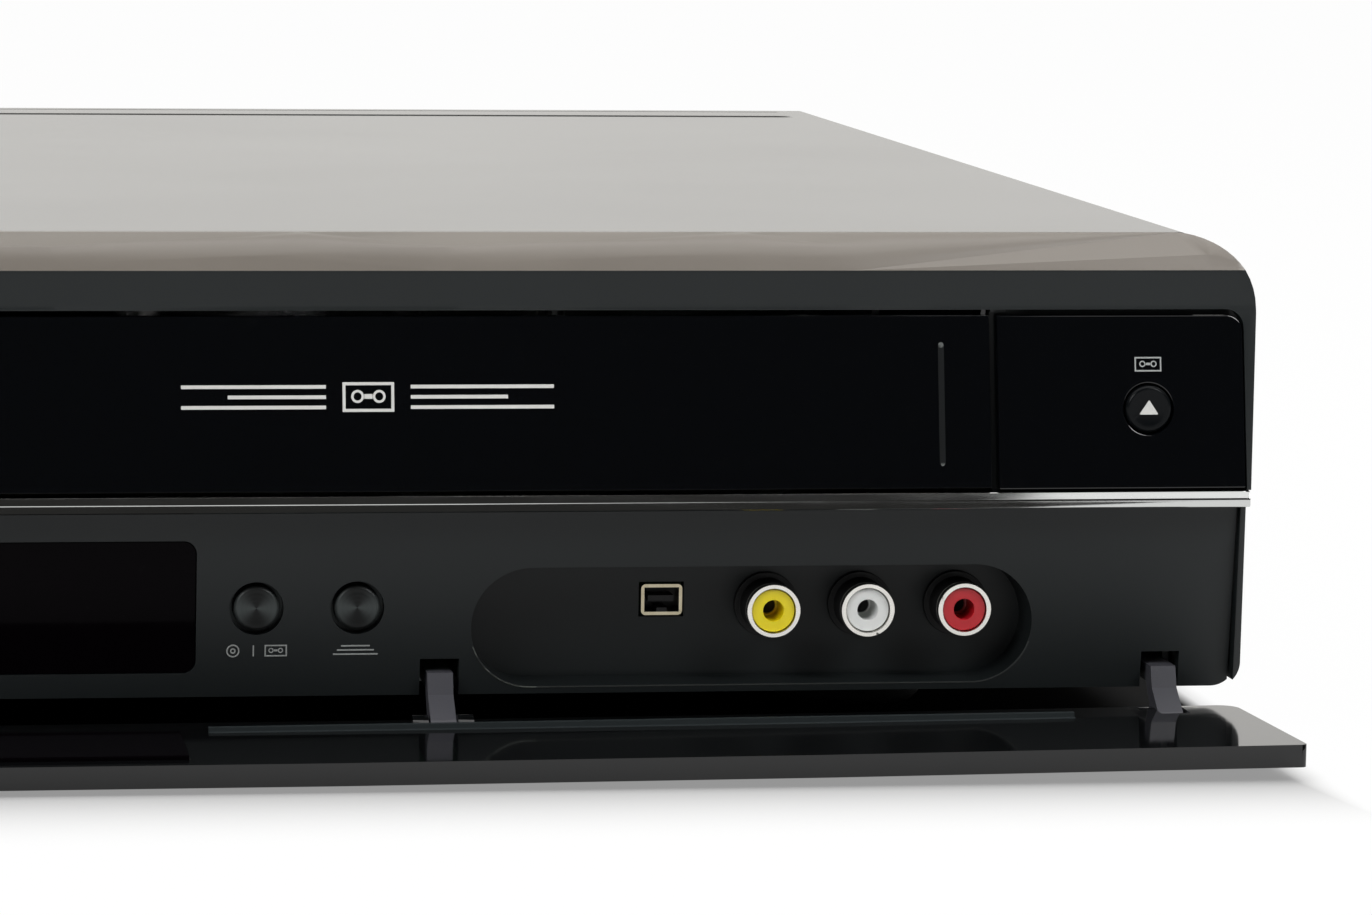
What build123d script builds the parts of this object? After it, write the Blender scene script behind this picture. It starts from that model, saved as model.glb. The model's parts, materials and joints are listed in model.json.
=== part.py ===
from build123d import *
from math import acos, asin, atan2, cos, degrees, hypot, pi, radians, sin, sqrt, tan
import os

os.makedirs("parts", exist_ok=True)

# A full-width disc and tape player with its lower flap folded open.
# X runs to the right as seen from the front, Y runs to the back, Z is up.
# The origin is on the floor under the middle of the machine with its flap open.

# ---------------------------------------------------------------- driving sizes
unit_width = 430.0
prow_width = 427.0          # width at the chrome strip, where the sides have drawn in
foot_width = 427.6          # width of the front at its lower edge
cover_width = 414.0
unit_height = 78.0
foot_height = 8.0
cover_length = 328.0
strip_depth = 12.0          # bezel from the prow back to the cover
front_bow = 1.6             # how far the middle of the front stands out
sheet = 1.0                 # steel sheet of cover, chassis and rear panel
moulding = 2.2              # plastic wall
gap = 0.3                   # clearance between neighbours
jack_reach = 9.0            # rear connectors beyond the rear panel

prow_bottom = 36.7          # chrome strip, lower edge
prow_top = 39.2             # chrome strip, upper edge
gloss_bottom = 39.6
gloss_top = 65.8
band_bottom = 66.9
band_top = 72.7
gloss_lean = 4.8            # the gloss front's top stands this far behind the prow
band_setback = 5.5
front_bottom = 7.8          # lower edge of the front above the floor
panel_setback_top = 3.9     # control panel behind the prow, at its top
panel_setback_bottom = 7.2

flap_centre = 77.5
flap_width = 191.6
flap_thickness = 2.0
flap_pivot_depth = 9.5
flap_pivot_height = 70.0
flap_pin_radius = 1.2
pivot_clearance = 0.06

tray_centre = -110.0
tray_front_width = 146.0
tray_front_bottom = 45.5
tray_front_top = 60.5
tray_width = 136.0
tray_length = 165.0
tray_bottom = 49.5
tray_thickness = 6.0
disc_radius = 60.0
disc_depth = 67.0           # disc centre behind the tray's front end

door_reach = 32.5           # open flap in front of the prow
door_tail = 2.0             # open flap behind the prow
door_thickness = 3.4
door_top = 5.7
door_axis_depth = 0.4
door_axis_height = 3.4
door_front_width = 428.4
door_back_width = 424.4
hinge_places = [-201.5, -89.1, 89.1, 201.5]
lug_width = 3.9
lug_slot_width = 6.0
lug_slot_top = 13.4
hinge_pin_radius = 0.9
knuckle_radius = 2.2

window_width = 104.0
window_bottom = 11.5
window_top = 32.0
cap_radius = 3.45
cap_hole_radius = 4.1
cap_height = 21.5
source_place = 61.1
scan_place = 76.4
button_travel = 0.8
eject_place = 197.7
eject_height = 51.6
eject_radius = 3.6
open_place = -27.7

recess_left = 93.8
recess_right = 180.9
recess_bottom = 9.0
recess_top = 27.5
recess_floor = 14.5         # depth of the recess floor behind the prow
jack_places = [140.8, 155.5, 170.6]
jack_height = 20.1
jack_radius = 4.15
jack_insert_radius = 3.3
jack_hole_radius = 1.6
jack_front = 6.6            # depth of the jack rims behind the prow
socket_place = 124.5
socket_height = 20.9
socket_width = 6.4
socket_tall = 4.8

cassette_width = 187.0
basket_bottom = 37.6
basket_depth = 78.0
basket_front = 90.0         # basket behind the prow, at the bend of its path
basket_travel = 45.0
basket_drop = 11.5
basket_pin_radius = 1.5
deck_height = 25.5          # top of the deck plate
deck_front = 46.0
deck_back = 240.0
drum_depth = 204.0
drum_radius = 31.0
drum_tilt = 5.0
reel_spacing = 90.0
reel_depth = 118.0

# ---------------------------------------------------------------- derived places
rear_reach = strip_depth + cover_length + jack_reach
face_y = (door_reach - rear_reach) / 2
cover_rear_y = face_y + strip_depth + cover_length
half_width = unit_width / 2
half_cover = cover_width / 2
cover_inside = half_cover - sheet
chassis_side = cover_inside - gap
top_inside = unit_height - sheet
floor_top = foot_height + sheet
rear_plate_y = cover_rear_y - sheet - gap      # outer face of the rear panel
chassis_front_y = face_y + 17.3

bow_radius = (half_width**2 + front_bow**2) / (2 * front_bow)
bow_centre_y = face_y - front_bow + bow_radius
bow_axis = Axis((0, bow_centre_y, 0), (0, 0, 1))
bow_half_angle = degrees(asin((half_width + 3) / bow_radius))
bow_arc = 2 * bow_half_angle
bow_sin = sin(radians(bow_half_angle))
bow_cos = cos(radians(bow_half_angle))
# Side profiles are drawn here: x is the depth behind the prow, y is the height.
bow_plane = Plane(
    origin=(-bow_radius * bow_sin, bow_centre_y - bow_radius * bow_cos, 0),
    x_dir=(bow_sin, bow_cos, 0),
    z_dir=(bow_cos, -bow_sin, 0),
)


def front_at(depth):
    """Sketch plane seen from the front, that far behind the prow: x is right, y is up."""
    return Plane.XZ.offset(-(face_y + depth))


def side_at(x):
    """Sketch plane seen from the right: x is the depth from the origin, y is up."""
    return Plane.YZ.offset(x)


def block(x0, x1, depth0, depth1, z0, z1, mode=Mode.ADD):
    """Square block between limits, with depths behind the prow."""
    with Locations(((x0 + x1) / 2, face_y + (depth0 + depth1) / 2, (z0 + z1) / 2)):
        Box(x1 - x0, depth1 - depth0, z1 - z0, mode=mode)


def upright(x, depth, z0, z1, radius, mode=Mode.ADD):
    """Round post from z0 to z1."""
    with Locations((x, face_y + depth, (z0 + z1) / 2)):
        Cylinder(radius, z1 - z0, mode=mode)


def lengthwise(x, z, depth0, depth1, radius, mode=Mode.ADD):
    """Round bar that runs from front to back."""
    with Locations((x, face_y + (depth0 + depth1) / 2, z)):
        Cylinder(radius, depth1 - depth0, rotation=(90, 0, 0), mode=mode)


def crosswise(x0, x1, depth, z, radius, mode=Mode.ADD):
    """Round bar that runs from left to right."""
    with Locations(((x0 + x1) / 2, face_y + depth, z)):
        Cylinder(radius, x1 - x0, rotation=(0, 90, 0), mode=mode)


def bowed(points, mode=Mode.ADD):
    """Side profile of (depth, height) points, carried along the bow of the front."""
    with BuildSketch(bow_plane) as profile:
        with BuildLine():
            Polyline(*points, close=True)
        make_face()
    revolve(profile.sketch, axis=bow_axis, revolution_arc=bow_arc, mode=mode)


def from_front(sketch, depth, mode=Mode.ADD):
    """Push a front-view sketch back by a depth."""
    extrude(sketch.sketch, amount=-depth, mode=mode)


def finish(part, name):
    part.label = name
    export_step(part, "parts/" + name + ".step")


def bow_at(x):
    """How far the bowed front lies behind the prow's ends at a place across it (negative)."""
    return bow_centre_y - sqrt(bow_radius**2 - x**2) - face_y


def gloss_depth(z):
    """Depth of the gloss face behind the prow at a height."""
    return 0.4 + gloss_lean * (z - gloss_bottom) / (gloss_top - gloss_bottom)


def panel_depth(z):
    """Depth of the control panel's face behind the prow at a height."""
    share = (prow_bottom - z) / (prow_bottom - front_bottom)
    return panel_setback_top + (panel_setback_bottom - panel_setback_top) * share


def gloss_slab(front, back):
    """Profile of a gloss plate whose faces lie so far behind the gloss face."""
    low = gloss_bottom - 2
    high = gloss_top + 2
    return [
        (gloss_depth(low) + front, low),
        (gloss_depth(high) + front, high),
        (gloss_depth(high) + back, high),
        (gloss_depth(low) + back, low),
    ]


def panel_slab(front, back):
    """Profile of a plate whose faces lie so far behind the control panel's face."""
    low = front_bottom - 2
    high = prow_bottom + 2
    return [
        (panel_depth(low) + front, low),
        (panel_depth(high) + front, high),
        (panel_depth(high) + back, high),
        (panel_depth(low) + back, low),
    ]


# ---------------------------------------------------------------- casing
front_outline_corner = 11.5
lower_corner = 4.0
shoulder_height = 66.0      # below this the sides draw in


def front_outline(inset=0.0):
    """Front view of the bezel, drawn inside the current sketch."""
    top = unit_height - inset
    bottom = front_bottom + inset
    wide = half_width - inset
    prow = prow_width / 2 - inset
    low = foot_width / 2 - inset
    with BuildLine() as edge:
        Polyline(
            (-low, bottom), (low, bottom), (prow, prow_bottom), (wide, shoulder_height),
            (wide, top), (-wide, top), (-wide, shoulder_height), (-prow, prow_bottom), close=True,
        )
    make_face(edge.edges())


with BuildPart() as bezel_core:
    with BuildSketch(front_at(-5)) as outline:
        front_outline(moulding)
        fillet(outline.vertices().group_by(Axis.Y)[-1], front_outline_corner - moulding)
    from_front(outline, 40)
    bowed(
        [
            (40, prow_bottom - 1.2), (4.4, prow_bottom - 1.2),
            (4.4, gloss_bottom - 1.4), (5.2, gloss_bottom), (10.1, band_bottom - 0.4),
            (band_setback + moulding, band_bottom - 0.4), (band_setback + moulding, 72.6),
            (9.6, 75.0), (12.0, 75.8), (40, 75.8),
        ],
        mode=Mode.INTERSECT,
    )

with BuildPart() as gloss_pocket:
    with BuildSketch(front_at(-5)) as outline:
        with Locations((0, (prow_top + band_bottom - 0.2) / 2)):
            Rectangle(prow_width - 1.0, band_bottom - 0.2 - prow_top)
        fillet(outline.vertices().group_by(Axis.Y)[-1], 2.8)
    from_front(outline, 30)
    bowed(gloss_slab(-5, 2.6), mode=Mode.INTERSECT)

panel_half = half_width - 2.6
slot_floor = 37.6           # low enough for the flap's lower edge to swing past
lug_inner = flap_width / 2 + 0.2
lug_thickness = 2.4
flap_boss_radius = 1.9

with BuildPart() as front_bezel:
    with BuildSketch(front_at(-5)) as outline:
        front_outline()
        fillet(outline.vertices().group_by(Axis.Y)[-1], front_outline_corner)
        fillet(outline.vertices().group_by(Axis.Y)[0], lower_corner)
    from_front(outline, strip_depth + 5)
    with BuildSketch(bow_plane) as face:
        with BuildLine():
            Polyline(
                (band_setback, band_top), (band_setback, band_bottom),
                (gloss_depth(gloss_bottom) + 0.1, gloss_bottom - 0.3), (2.0, prow_top),
                (2.0, prow_bottom - 0.2), (2.4, prow_bottom - 0.4), (5.0, front_bottom), (30, front_bottom),
                (30, unit_height), (strip_depth, unit_height),
            )
            ThreePointArc((strip_depth, unit_height), (8.2, 76.4), (band_setback, band_top))
        make_face()
    revolve(face.sketch, axis=bow_axis, revolution_arc=bow_arc, mode=Mode.INTERSECT)
    add(bezel_core.part, mode=Mode.SUBTRACT)
    add(gloss_pocket.part, mode=Mode.SUBTRACT)
    # The control panel fills the lower front between two thin cheeks.
    block(-panel_half - gap, panel_half + gap, -5, 30, 0, prow_bottom - 0.3, Mode.SUBTRACT)
    # Cassette slot, tray window and button holes through the backing of the gloss plates.
    slot_half = flap_width / 2 + 0.2
    block(flap_centre - slot_half, flap_centre + slot_half, 0, 30, slot_floor, 66.5, Mode.SUBTRACT)
    window_half = tray_front_width / 2 + 1
    block(tray_centre - window_half, tray_centre + window_half, 0, 30, 44.5, 61.5, Mode.SUBTRACT)
    for place in (eject_place, -eject_place, open_place):
        lengthwise(place, eject_height, 0, 30, eject_radius + 0.8, Mode.SUBTRACT)
    # Lugs that carry the cassette flap's pins.
    for side in (-1, 1):
        near = flap_centre + side * lug_inner
        far = near + side * lug_thickness
        block(min(near, far), max(near, far), 6.4, 12.4, 66.2, 72.4)
        crosswise(
            min(near, far) - 1, max(near, far) + 1, flap_pivot_depth, flap_pivot_height,
            flap_pin_radius + pivot_clearance, Mode.SUBTRACT,
        )
    # Tabs that reach under the cover.
    for place in (-180, -60, 60, 186):
        block(place - 7, place + 7, 11.0, 20.0, 75.2, top_inside - gap)
finish(front_bezel.part, "front_bezel")

with BuildPart() as top_cover:
    with BuildSketch(front_at(strip_depth + 0.2)) as section:
        with Locations((0, (unit_height + front_bottom + 0.4) / 2)):
            Rectangle(cover_width, unit_height - front_bottom - 0.4)
        fillet(section.vertices().group_by(Axis.Y)[-1], 2.6)
        inner_height = unit_height - front_bottom - 0.4 - sheet
        with Locations((0, unit_height - sheet - inner_height / 2)):
            Rectangle(cover_width - 2 * sheet, inner_height, mode=Mode.SUBTRACT)
    from_front(section, cover_length - 0.2)
    fillet(
        top_cover.edges().filter_by(Axis.Y).filter_by(
            lambda e: abs(abs(e.center().X) - cover_inside) < 0.1 and e.center().Z > 70
        ),
        1.6,
    )
    # Folded rear lip, and the pressed line just in front of it.
    block(-198, 198, strip_depth + cover_length - sheet, strip_depth + cover_length,
          unit_height - 9, unit_height - 0.5)
    with BuildSketch(side_at(-199)) as groove:
        with Locations((cover_rear_y - 5.0, unit_height)):
            Rectangle(1.1, 1.0)
    extrude(groove.sketch, amount=398, mode=Mode.SUBTRACT)
    # Cooling slots in both sides.
    slot_pitch = 7.0
    for row_height in (34.0, 50.0):
        for step in range(12):
            depth = 215 + step * slot_pitch
            block(-half_cover - 2, half_cover + 2, depth, depth + 2.4, row_height,
                  row_height + 12, Mode.SUBTRACT)
    # Holes for the cover screws.
    for depth in (60.0, 290.0):
        crosswise(-half_cover - 2, half_cover + 2, depth, 16.0, 1.9, Mode.SUBTRACT)
    for place in (-150.0, 0.0, 150.0):
        lengthwise(place, 72.5, cover_length, cover_length + 20, 1.9, Mode.SUBTRACT)
finish(top_cover.part, "top_cover")

chassis_length = rear_plate_y - sheet - 0.1 - chassis_front_y
foot_places = [(x, d) for x in (-160.0, 160.0) for d in (48.0, 292.0)]

with BuildPart() as base_chassis:
    with BuildSketch(front_at(17.3)) as section:
        with Locations((0, (foot_height + 46.0) / 2)):
            Rectangle(2 * chassis_side, 46.0 - foot_height)
        fillet(section.vertices().group_by(Axis.Y)[0], 1.5)
        with Locations((0, (floor_top + 60.0) / 2)):
            Rectangle(2 * (chassis_side - sheet), 60.0 - floor_top, mode=Mode.SUBTRACT)
    from_front(section, chassis_length)
    # Pressed ribs that stiffen the floor.
    for place in (-60.0, -30.0):
        with BuildSketch(Plane.XY.offset(floor_top)) as rib:
            with Locations((place, face_y + 120)):
                SlotOverall(150, 8, rotation=90)
        extrude(rib.sketch, amount=1.2, taper=30)
    # Floor vents under the power board.
    for step in range(10):
        block(-150 + step * 9, -146 + step * 9, 262, 292, 0, 20, Mode.SUBTRACT)
    for x, depth in foot_places:
        upright(x, depth, 0, 20, 2.1, Mode.SUBTRACT)
    for depth in (60.0, 290.0):
        crosswise(-half_cover, half_cover, depth, 16.0, 1.3, Mode.SUBTRACT)
finish(base_chassis.part, "base_chassis")

with BuildPart() as feet:
    for x, depth in foot_places:
        with BuildSketch(Plane(origin=(x, face_y + depth, 0), x_dir=(1, 0, 0), z_dir=(0, -1, 0))) as turn:
            with BuildLine():
                Polyline(
                    (0, 0.6), (6.5, 0.6), (7.5, 0), (11.0, 0), (12.0, 1.0), (13.5, foot_height),
                    (2.0, foot_height), (2.0, floor_top + 1.0), (0, floor_top + 1.0), close=True,
                )
            make_face()
        revolve(turn.sketch, axis=Axis((x, face_y + depth, 0), (0, 0, 1)))
finish(feet.part, "feet")

jack_grid = [(x, z) for x in (-4.0, 12.0, 28.0, 44.0, 60.0, 76.0) for z in (32.0, 50.0)]
antenna_place = 132.0
antenna_heights = (30.0, 52.0)
inlet_place = -180.0
inlet_height = 28.0
inlet_half_width = 10.5
inlet_half_height = 6.6
fan_place = -118.0
fan_height = 38.0
fan_size = 50.0
fan_thickness = 10.0

with BuildPart() as rear_panel:
    with BuildSketch(front_at(strip_depth + cover_length - gap - 2 * sheet)) as plate:
        with Locations((0, (foot_height + 0.2 + top_inside - gap) / 2)):
            Rectangle(2 * chassis_side, top_inside - gap - foot_height - 0.2)
        chamfer(plate.vertices().group_by(Axis.Y)[-1], 2.0)
    from_front(plate, sheet)
    # A flange along the top turns forward under the cover.
    block(-190, 190, strip_depth + cover_length - 12, strip_depth + cover_length - gap - sheet,
          top_inside - 0.3 - sheet, top_inside - 0.3)
    back = strip_depth + cover_length - 10
    for x, z in jack_grid:
        lengthwise(x, z, back, back + 20, jack_radius + 0.3, Mode.SUBTRACT)
    for z in antenna_heights:
        lengthwise(antenna_place, z, back, back + 20, 5.1, Mode.SUBTRACT)
    block(inlet_place - inlet_half_width - 0.3, inlet_place + inlet_half_width + 0.3,
          back, back + 20, inlet_height - inlet_half_height - 0.3,
          inlet_height + inlet_half_height + 0.3, Mode.SUBTRACT)
    # Grille of slots in front of the fan.
    with BuildSketch(front_at(back)) as grille:
        with Locations((fan_place, fan_height)):
            Circle(22.0)
            Circle(8.0, mode=Mode.SUBTRACT)
            for turn in (0, 45, 90, 135):
                Rectangle(60, 2.4, rotation=turn, mode=Mode.SUBTRACT)
            Circle(16.0, mode=Mode.SUBTRACT)
            Circle(14.0)
            Circle(8.0, mode=Mode.SUBTRACT)
            for turn in (0, 45, 90, 135):
                Rectangle(60, 2.4, rotation=turn, mode=Mode.SUBTRACT)
    from_front(grille, 20, Mode.SUBTRACT)
    for place in (-150.0, 0.0, 150.0):
        lengthwise(place, 72.5, back, back + 20, 1.3, Mode.SUBTRACT)
finish(rear_panel.part, "rear_panel")

with BuildPart() as cover_screws:
    for side in (-1, 1):
        for depth in (60.0, 290.0):
            outer = side * (half_cover + 1.8)
            seat = side * half_cover
            tip = side * (chassis_side - 6)
            crosswise(min(seat, outer), max(seat, outer), depth, 16.0, 3.2)
            crosswise(min(tip, seat), max(tip, seat), depth, 16.0, 1.2)
    rear = strip_depth + cover_length
    for place in (-150.0, 0.0, 150.0):
        lengthwise(place, 72.5, rear, rear + 1.8, 3.2)
        lengthwise(place, 72.5, rear - 7, rear, 1.2)
finish(cover_screws.part, "cover_screws")

# ---------------------------------------------------------------- front trim
seam_gap = 0.4
flap_left = flap_centre - flap_width / 2
flap_right = flap_centre + flap_width / 2
gloss_corner = 2.5
gloss_half = prow_width / 2 - 0.7
plate_back = 2.4


def gloss_plate(x0, x1, rounded, profile):
    """Gloss plate between two sides, with one rounded top corner, following the lean and bow."""
    with BuildSketch(front_at(-5)) as outline:
        with Locations(((x0 + x1) / 2, (gloss_bottom + gloss_top) / 2)):
            Rectangle(x1 - x0, gloss_top - gloss_bottom)
        if rounded:
            corner = outline.vertices().group_by(Axis.Y)[-1].sort_by(Axis.X)[0 if rounded < 0 else -1]
            fillet(corner, gloss_corner)
    from_front(outline, 30)
    bowed(profile, mode=Mode.INTERSECT)


with BuildPart() as vcr_fascia:
    gloss_plate(flap_right + 2 * seam_gap, gloss_half, 1, gloss_slab(0, plate_back))
    lengthwise(eject_place, eject_height, -5, 20, eject_radius + gap, Mode.SUBTRACT)
finish(vcr_fascia.part, "vcr_fascia")

with BuildPart() as tray_fascia:
    gloss_plate(-gloss_half, flap_left - 2 * seam_gap, -1, gloss_slab(0, plate_back))
    with BuildSketch(front_at(-5)) as opening:
        with Locations((tray_centre, (tray_front_bottom + tray_front_top) / 2)):
            RectangleRounded(
                tray_front_width + 2 * gap, tray_front_top - tray_front_bottom + 2 * gap, 1.3
            )
    from_front(opening, 30, Mode.SUBTRACT)
    for place in (-eject_place, open_place):
        lengthwise(place, eject_height, -5, 20, eject_radius + gap, Mode.SUBTRACT)
finish(tray_fascia.part, "tray_fascia")

with BuildPart() as chrome_strip:
    with BuildSketch(front_at(-5)) as outline:
        with Locations((0, (prow_bottom + prow_top) / 2)):
            Rectangle(prow_width, prow_top - prow_bottom)
    from_front(outline, 30)
    bowed(
        [(1.9, 36), (1.9, prow_bottom), (0.9, prow_bottom), (0, 38.0), (0.8, prow_top), (1.9, prow_top)],
        mode=Mode.INTERSECT,
    )
finish(chrome_strip.part, "chrome_strip")

flap_arm_thickness = 2.0
arm_side = flap_width / 2 - 0.1

flap_bottom = gloss_bottom + 0.3
flap_profile = [
    (gloss_depth(flap_bottom), flap_bottom),
    (gloss_depth(gloss_top), gloss_top),
    (gloss_depth(gloss_top) + flap_thickness, gloss_top),
    # Stiffening rib along the back.
    (gloss_depth(62) + flap_thickness, 62),
    (gloss_depth(62) + flap_thickness + 1.2, 61.5),
    (gloss_depth(60) + flap_thickness + 1.2, 60.5),
    (gloss_depth(60) + flap_thickness, 60),
    (gloss_depth(flap_bottom) + flap_thickness, flap_bottom),
]

with BuildPart() as vcr_flap:
    gloss_plate(flap_left + seam_gap, flap_right - seam_gap, 0, flap_profile)
    for side in (-1, 1):
        outer = flap_centre + side * arm_side
        plate_y = face_y + bow_at(outer) + flap_thickness - 0.8
        pivot_y = face_y + flap_pivot_depth
        with BuildSketch(side_at(outer)) as arm:
            with BuildLine():
                Polyline(
                    (plate_y + gloss_depth(54), 54), (plate_y + gloss_depth(64.5), 64.5),
                    (pivot_y - 1.2, 65.6), (pivot_y - flap_boss_radius, flap_pivot_height),
                    (pivot_y + flap_boss_radius, flap_pivot_height - 0.5), close=True,
                )
            make_face()
            with Locations((pivot_y, flap_pivot_height)):
                Circle(flap_boss_radius)
        extrude(arm.sketch, amount=-side * flap_arm_thickness)
        end = flap_centre + side * (lug_inner + lug_thickness)
        crosswise(min(outer, end), max(outer, end), flap_pivot_depth, flap_pivot_height, flap_pin_radius)
finish(vcr_flap.part, "vcr_flap")

# ---------------------------------------------------------------- lower front
panel_top = prow_bottom - 0.5
button_places = [-84.0, -68.0, -100.0]
round_holes = [source_place, scan_place] + button_places
recess_centre = (recess_left + recess_right) / 2
recess_middle = (recess_bottom + recess_top) / 2
recess_length = recess_right - recess_left
recess_tall = recess_top - recess_bottom
tub_wall = 1.3

with BuildPart() as control_panel:
    bowed(
        [
            (panel_depth(panel_top), panel_top), (panel_depth(panel_top) + moulding, panel_top),
            (panel_depth(10.0) + moulding, 10.0), (17.0, 9.6), (17.0, front_bottom),
            (panel_depth(front_bottom), front_bottom),
        ]
    )
    with BuildSketch(front_at(-5)) as outline:
        front_outline()
        fillet(outline.vertices().group_by(Axis.Y)[0], lower_corner)
        with Locations((0, (front_bottom + panel_top) / 2)):
            Rectangle(2 * panel_half, panel_top - front_bottom, mode=Mode.INTERSECT)
    from_front(outline, 40, Mode.INTERSECT)
    # The lower flange passes between the sides of the cover.
    for side in (-1, 1):
        inner = side * (cover_inside - 0.6)
        outer = side * (half_width + 5)
        block(min(inner, outer), max(inner, outer), strip_depth - 0.2, 30, 0, 50, Mode.SUBTRACT)
    # Tub of the jack recess.
    with BuildSketch(front_at(7.0)) as tub:
        with Locations((recess_centre, recess_middle)):
            SlotOverall(recess_length + 2 * tub_wall, recess_tall + 2 * tub_wall)
        with Locations((0, front_bottom / 2)):
            Rectangle(unit_width, front_bottom, mode=Mode.SUBTRACT)
    from_front(tub, recess_floor + tub_wall - 7.0)
    with BuildSketch(front_at(-5)) as hollow:
        with Locations((recess_centre, recess_middle)):
            SlotOverall(recess_length, recess_tall)
    from_front(hollow, recess_floor + 5, Mode.SUBTRACT)
    for place in jack_places:
        lengthwise(place, jack_height, 0, 30, jack_radius + 0.35, Mode.SUBTRACT)
    block(socket_place - socket_width / 2 - 0.3, socket_place + socket_width / 2 + 0.3, 0, 30,
          socket_height - socket_tall / 2 - 0.3, socket_height + socket_tall / 2 + 0.3, Mode.SUBTRACT)
    # Display window with a ledge behind it, round button holes and hinge slots.
    with BuildSketch(front_at(-5)) as window:
        with Locations((0, (window_bottom + window_top) / 2)):
            RectangleRounded(window_width, window_top - window_bottom, 2.0)
    from_front(window, 30, Mode.SUBTRACT)
    for place in round_holes:
        lengthwise(place, cap_height, -5, 14, cap_hole_radius, Mode.SUBTRACT)
    for place in hinge_places:
        block(place - lug_slot_width / 2, place + lug_slot_width / 2, -5, 30, 0, lug_slot_top,
              Mode.SUBTRACT)
finish(control_panel.part, "control_panel")

lens_back = moulding + 0.15

with BuildPart() as window_flange:
    with BuildSketch(front_at(-5)) as outline:
        with Locations((0, (window_bottom + window_top) / 2)):
            RectangleRounded(window_width + 4, window_top - window_bottom + 2.4, 2.0)
    from_front(outline, 30)
    bowed(panel_slab(lens_back, lens_back + 1.2), mode=Mode.INTERSECT)

with BuildPart() as display_window:
    with BuildSketch(front_at(-5)) as window:
        with Locations((0, (window_bottom + window_top) / 2)):
            RectangleRounded(window_width - gap, window_top - window_bottom - gap, 1.9)
    from_front(window, 30)
    bowed(panel_slab(0.35, lens_back + 0.5), mode=Mode.INTERSECT)
    add(window_flange.part)
finish(display_window.part, "display_window")

board_depth = 19.5
board_thickness = 1.6
board_top = 34.0
switch_rise = 0.4

with BuildPart() as display_module:
    block(-46, 46, 12.6, board_depth, 12.6, 31.2)
    # Glass nib where the tube was sealed.
    crosswise(46, 49, 15.5, 21.0, 1.6)
finish(display_module.part, "display_module")

# ---------------------------------------------------------------- drop door
door_droop = 1.3            # the open flap hangs lower in the middle
lens_half = 49.2
lens_depths = (-28.2, -7.8)
lens_rise = 0.6
door_pivot_y = face_y + door_axis_depth


def door_sheet(z_top, thickness, droop):
    """Front view of a sheet that hangs lower in the middle than at its ends."""
    half = door_front_width / 2 + 2
    with BuildLine() as edge:
        ThreePointArc((-half, z_top), (0, z_top - droop), (half, z_top))
        Line((half, z_top), (half, z_top - thickness))
        ThreePointArc((half, z_top - thickness), (0, z_top - thickness - droop), (-half, z_top - thickness))
        Line((-half, z_top - thickness), (-half, z_top))
    make_face(edge.edges())


with BuildPart() as drop_door:
    with BuildSketch(front_at(-door_reach)) as section:
        door_sheet(door_top, door_thickness, door_droop)
    from_front(section, door_reach + door_tail)
    with BuildSketch(Plane.XY.offset(-5)) as plan:
        with BuildLine():
            Polyline(
                (-door_front_width / 2, face_y - door_reach), (door_front_width / 2, face_y - door_reach),
                (door_back_width / 2, face_y + door_tail), (-door_back_width / 2, face_y + door_tail),
                close=True,
            )
        make_face()
        fillet(plan.vertices().group_by(Axis.Y)[-1], 3.2)
        fillet(plan.vertices().group_by(Axis.Y)[0], 0.9)
    extrude(plan.sketch, amount=20, mode=Mode.INTERSECT)
    # Light-seal rib on the inner face.
    for side in (-1, 1):
        with BuildSketch(front_at(-5.6)) as rib:
            with BuildLine():
                Polyline(
                    (side * 53.3, door_top - 2.5), (side * 185.3, door_top - 1.5),
                    (side * 185.3, door_top + 0.35), (side * 53.3, door_top - 0.6), close=True,
                )
            make_face()
        from_front(rib, 1.0)
    # Opening for the window lens.
    block(-lens_half, lens_half, lens_depths[0], lens_depths[1], -5, 20, Mode.SUBTRACT)
    # Notches for the hinge lugs, with knuckles and pins beside them.
    for place in hinge_places:
        for side in (-1, 1):
            near = place + side * (lug_width / 2 + gap)
            far = near + side * 2.4
            crosswise(min(near, far), max(near, far), door_axis_depth, door_axis_height, knuckle_radius)
        notch = lug_width / 2 + gap
        block(place - notch, place + notch, -4.2, door_tail + 3, -5, 20, Mode.SUBTRACT)
        crosswise(place - notch, place + notch, door_axis_depth, door_axis_height, hinge_pin_radius)
finish(drop_door.part, "drop_door")

with BuildPart() as door_lens:
    with BuildSketch(front_at(lens_depths[0] + 0.15)) as section:
        door_sheet(door_top + lens_rise, door_thickness + lens_rise - 0.3, door_droop)
    from_front(section, lens_depths[1] - lens_depths[0] - 0.3)
    with BuildSketch(Plane.XY.offset(-5)) as plan:
        with Locations((0, face_y + (lens_depths[0] + lens_depths[1]) / 2)):
            Rectangle(2 * lens_half - 0.3, lens_depths[1] - lens_depths[0] - 0.3)
    extrude(plan.sketch, amount=20, mode=Mode.INTERSECT)
finish(door_lens.part, "door_lens")

lug_foot_depths = (18.0, 27.0)

with BuildPart() as hinge_lugs:
    for place in hinge_places:
        with BuildSketch(side_at(place - lug_width / 2)) as lug:
            with BuildLine():
                Polyline(
                    (door_pivot_y - 1.6, door_axis_height + 1.5), (face_y + 3.3, 8.2), (face_y + 4.4, 11.4),
                    (face_y + lug_foot_depths[0], 11.4), (face_y + lug_foot_depths[1], 11.4),
                    (face_y + lug_foot_depths[1], floor_top), (face_y + 17.0, floor_top),
                    (face_y + 7.0, 8.6), (door_pivot_y + 1.7, door_axis_height - 1.4), close=True,
                )
            make_face()
            with Locations((door_pivot_y, door_axis_height)):
                Circle(knuckle_radius)
                Circle(hinge_pin_radius + pivot_clearance, mode=Mode.SUBTRACT)
        extrude(lug.sketch, amount=lug_width)
finish(hinge_lugs.part, "hinge_lugs")

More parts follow.
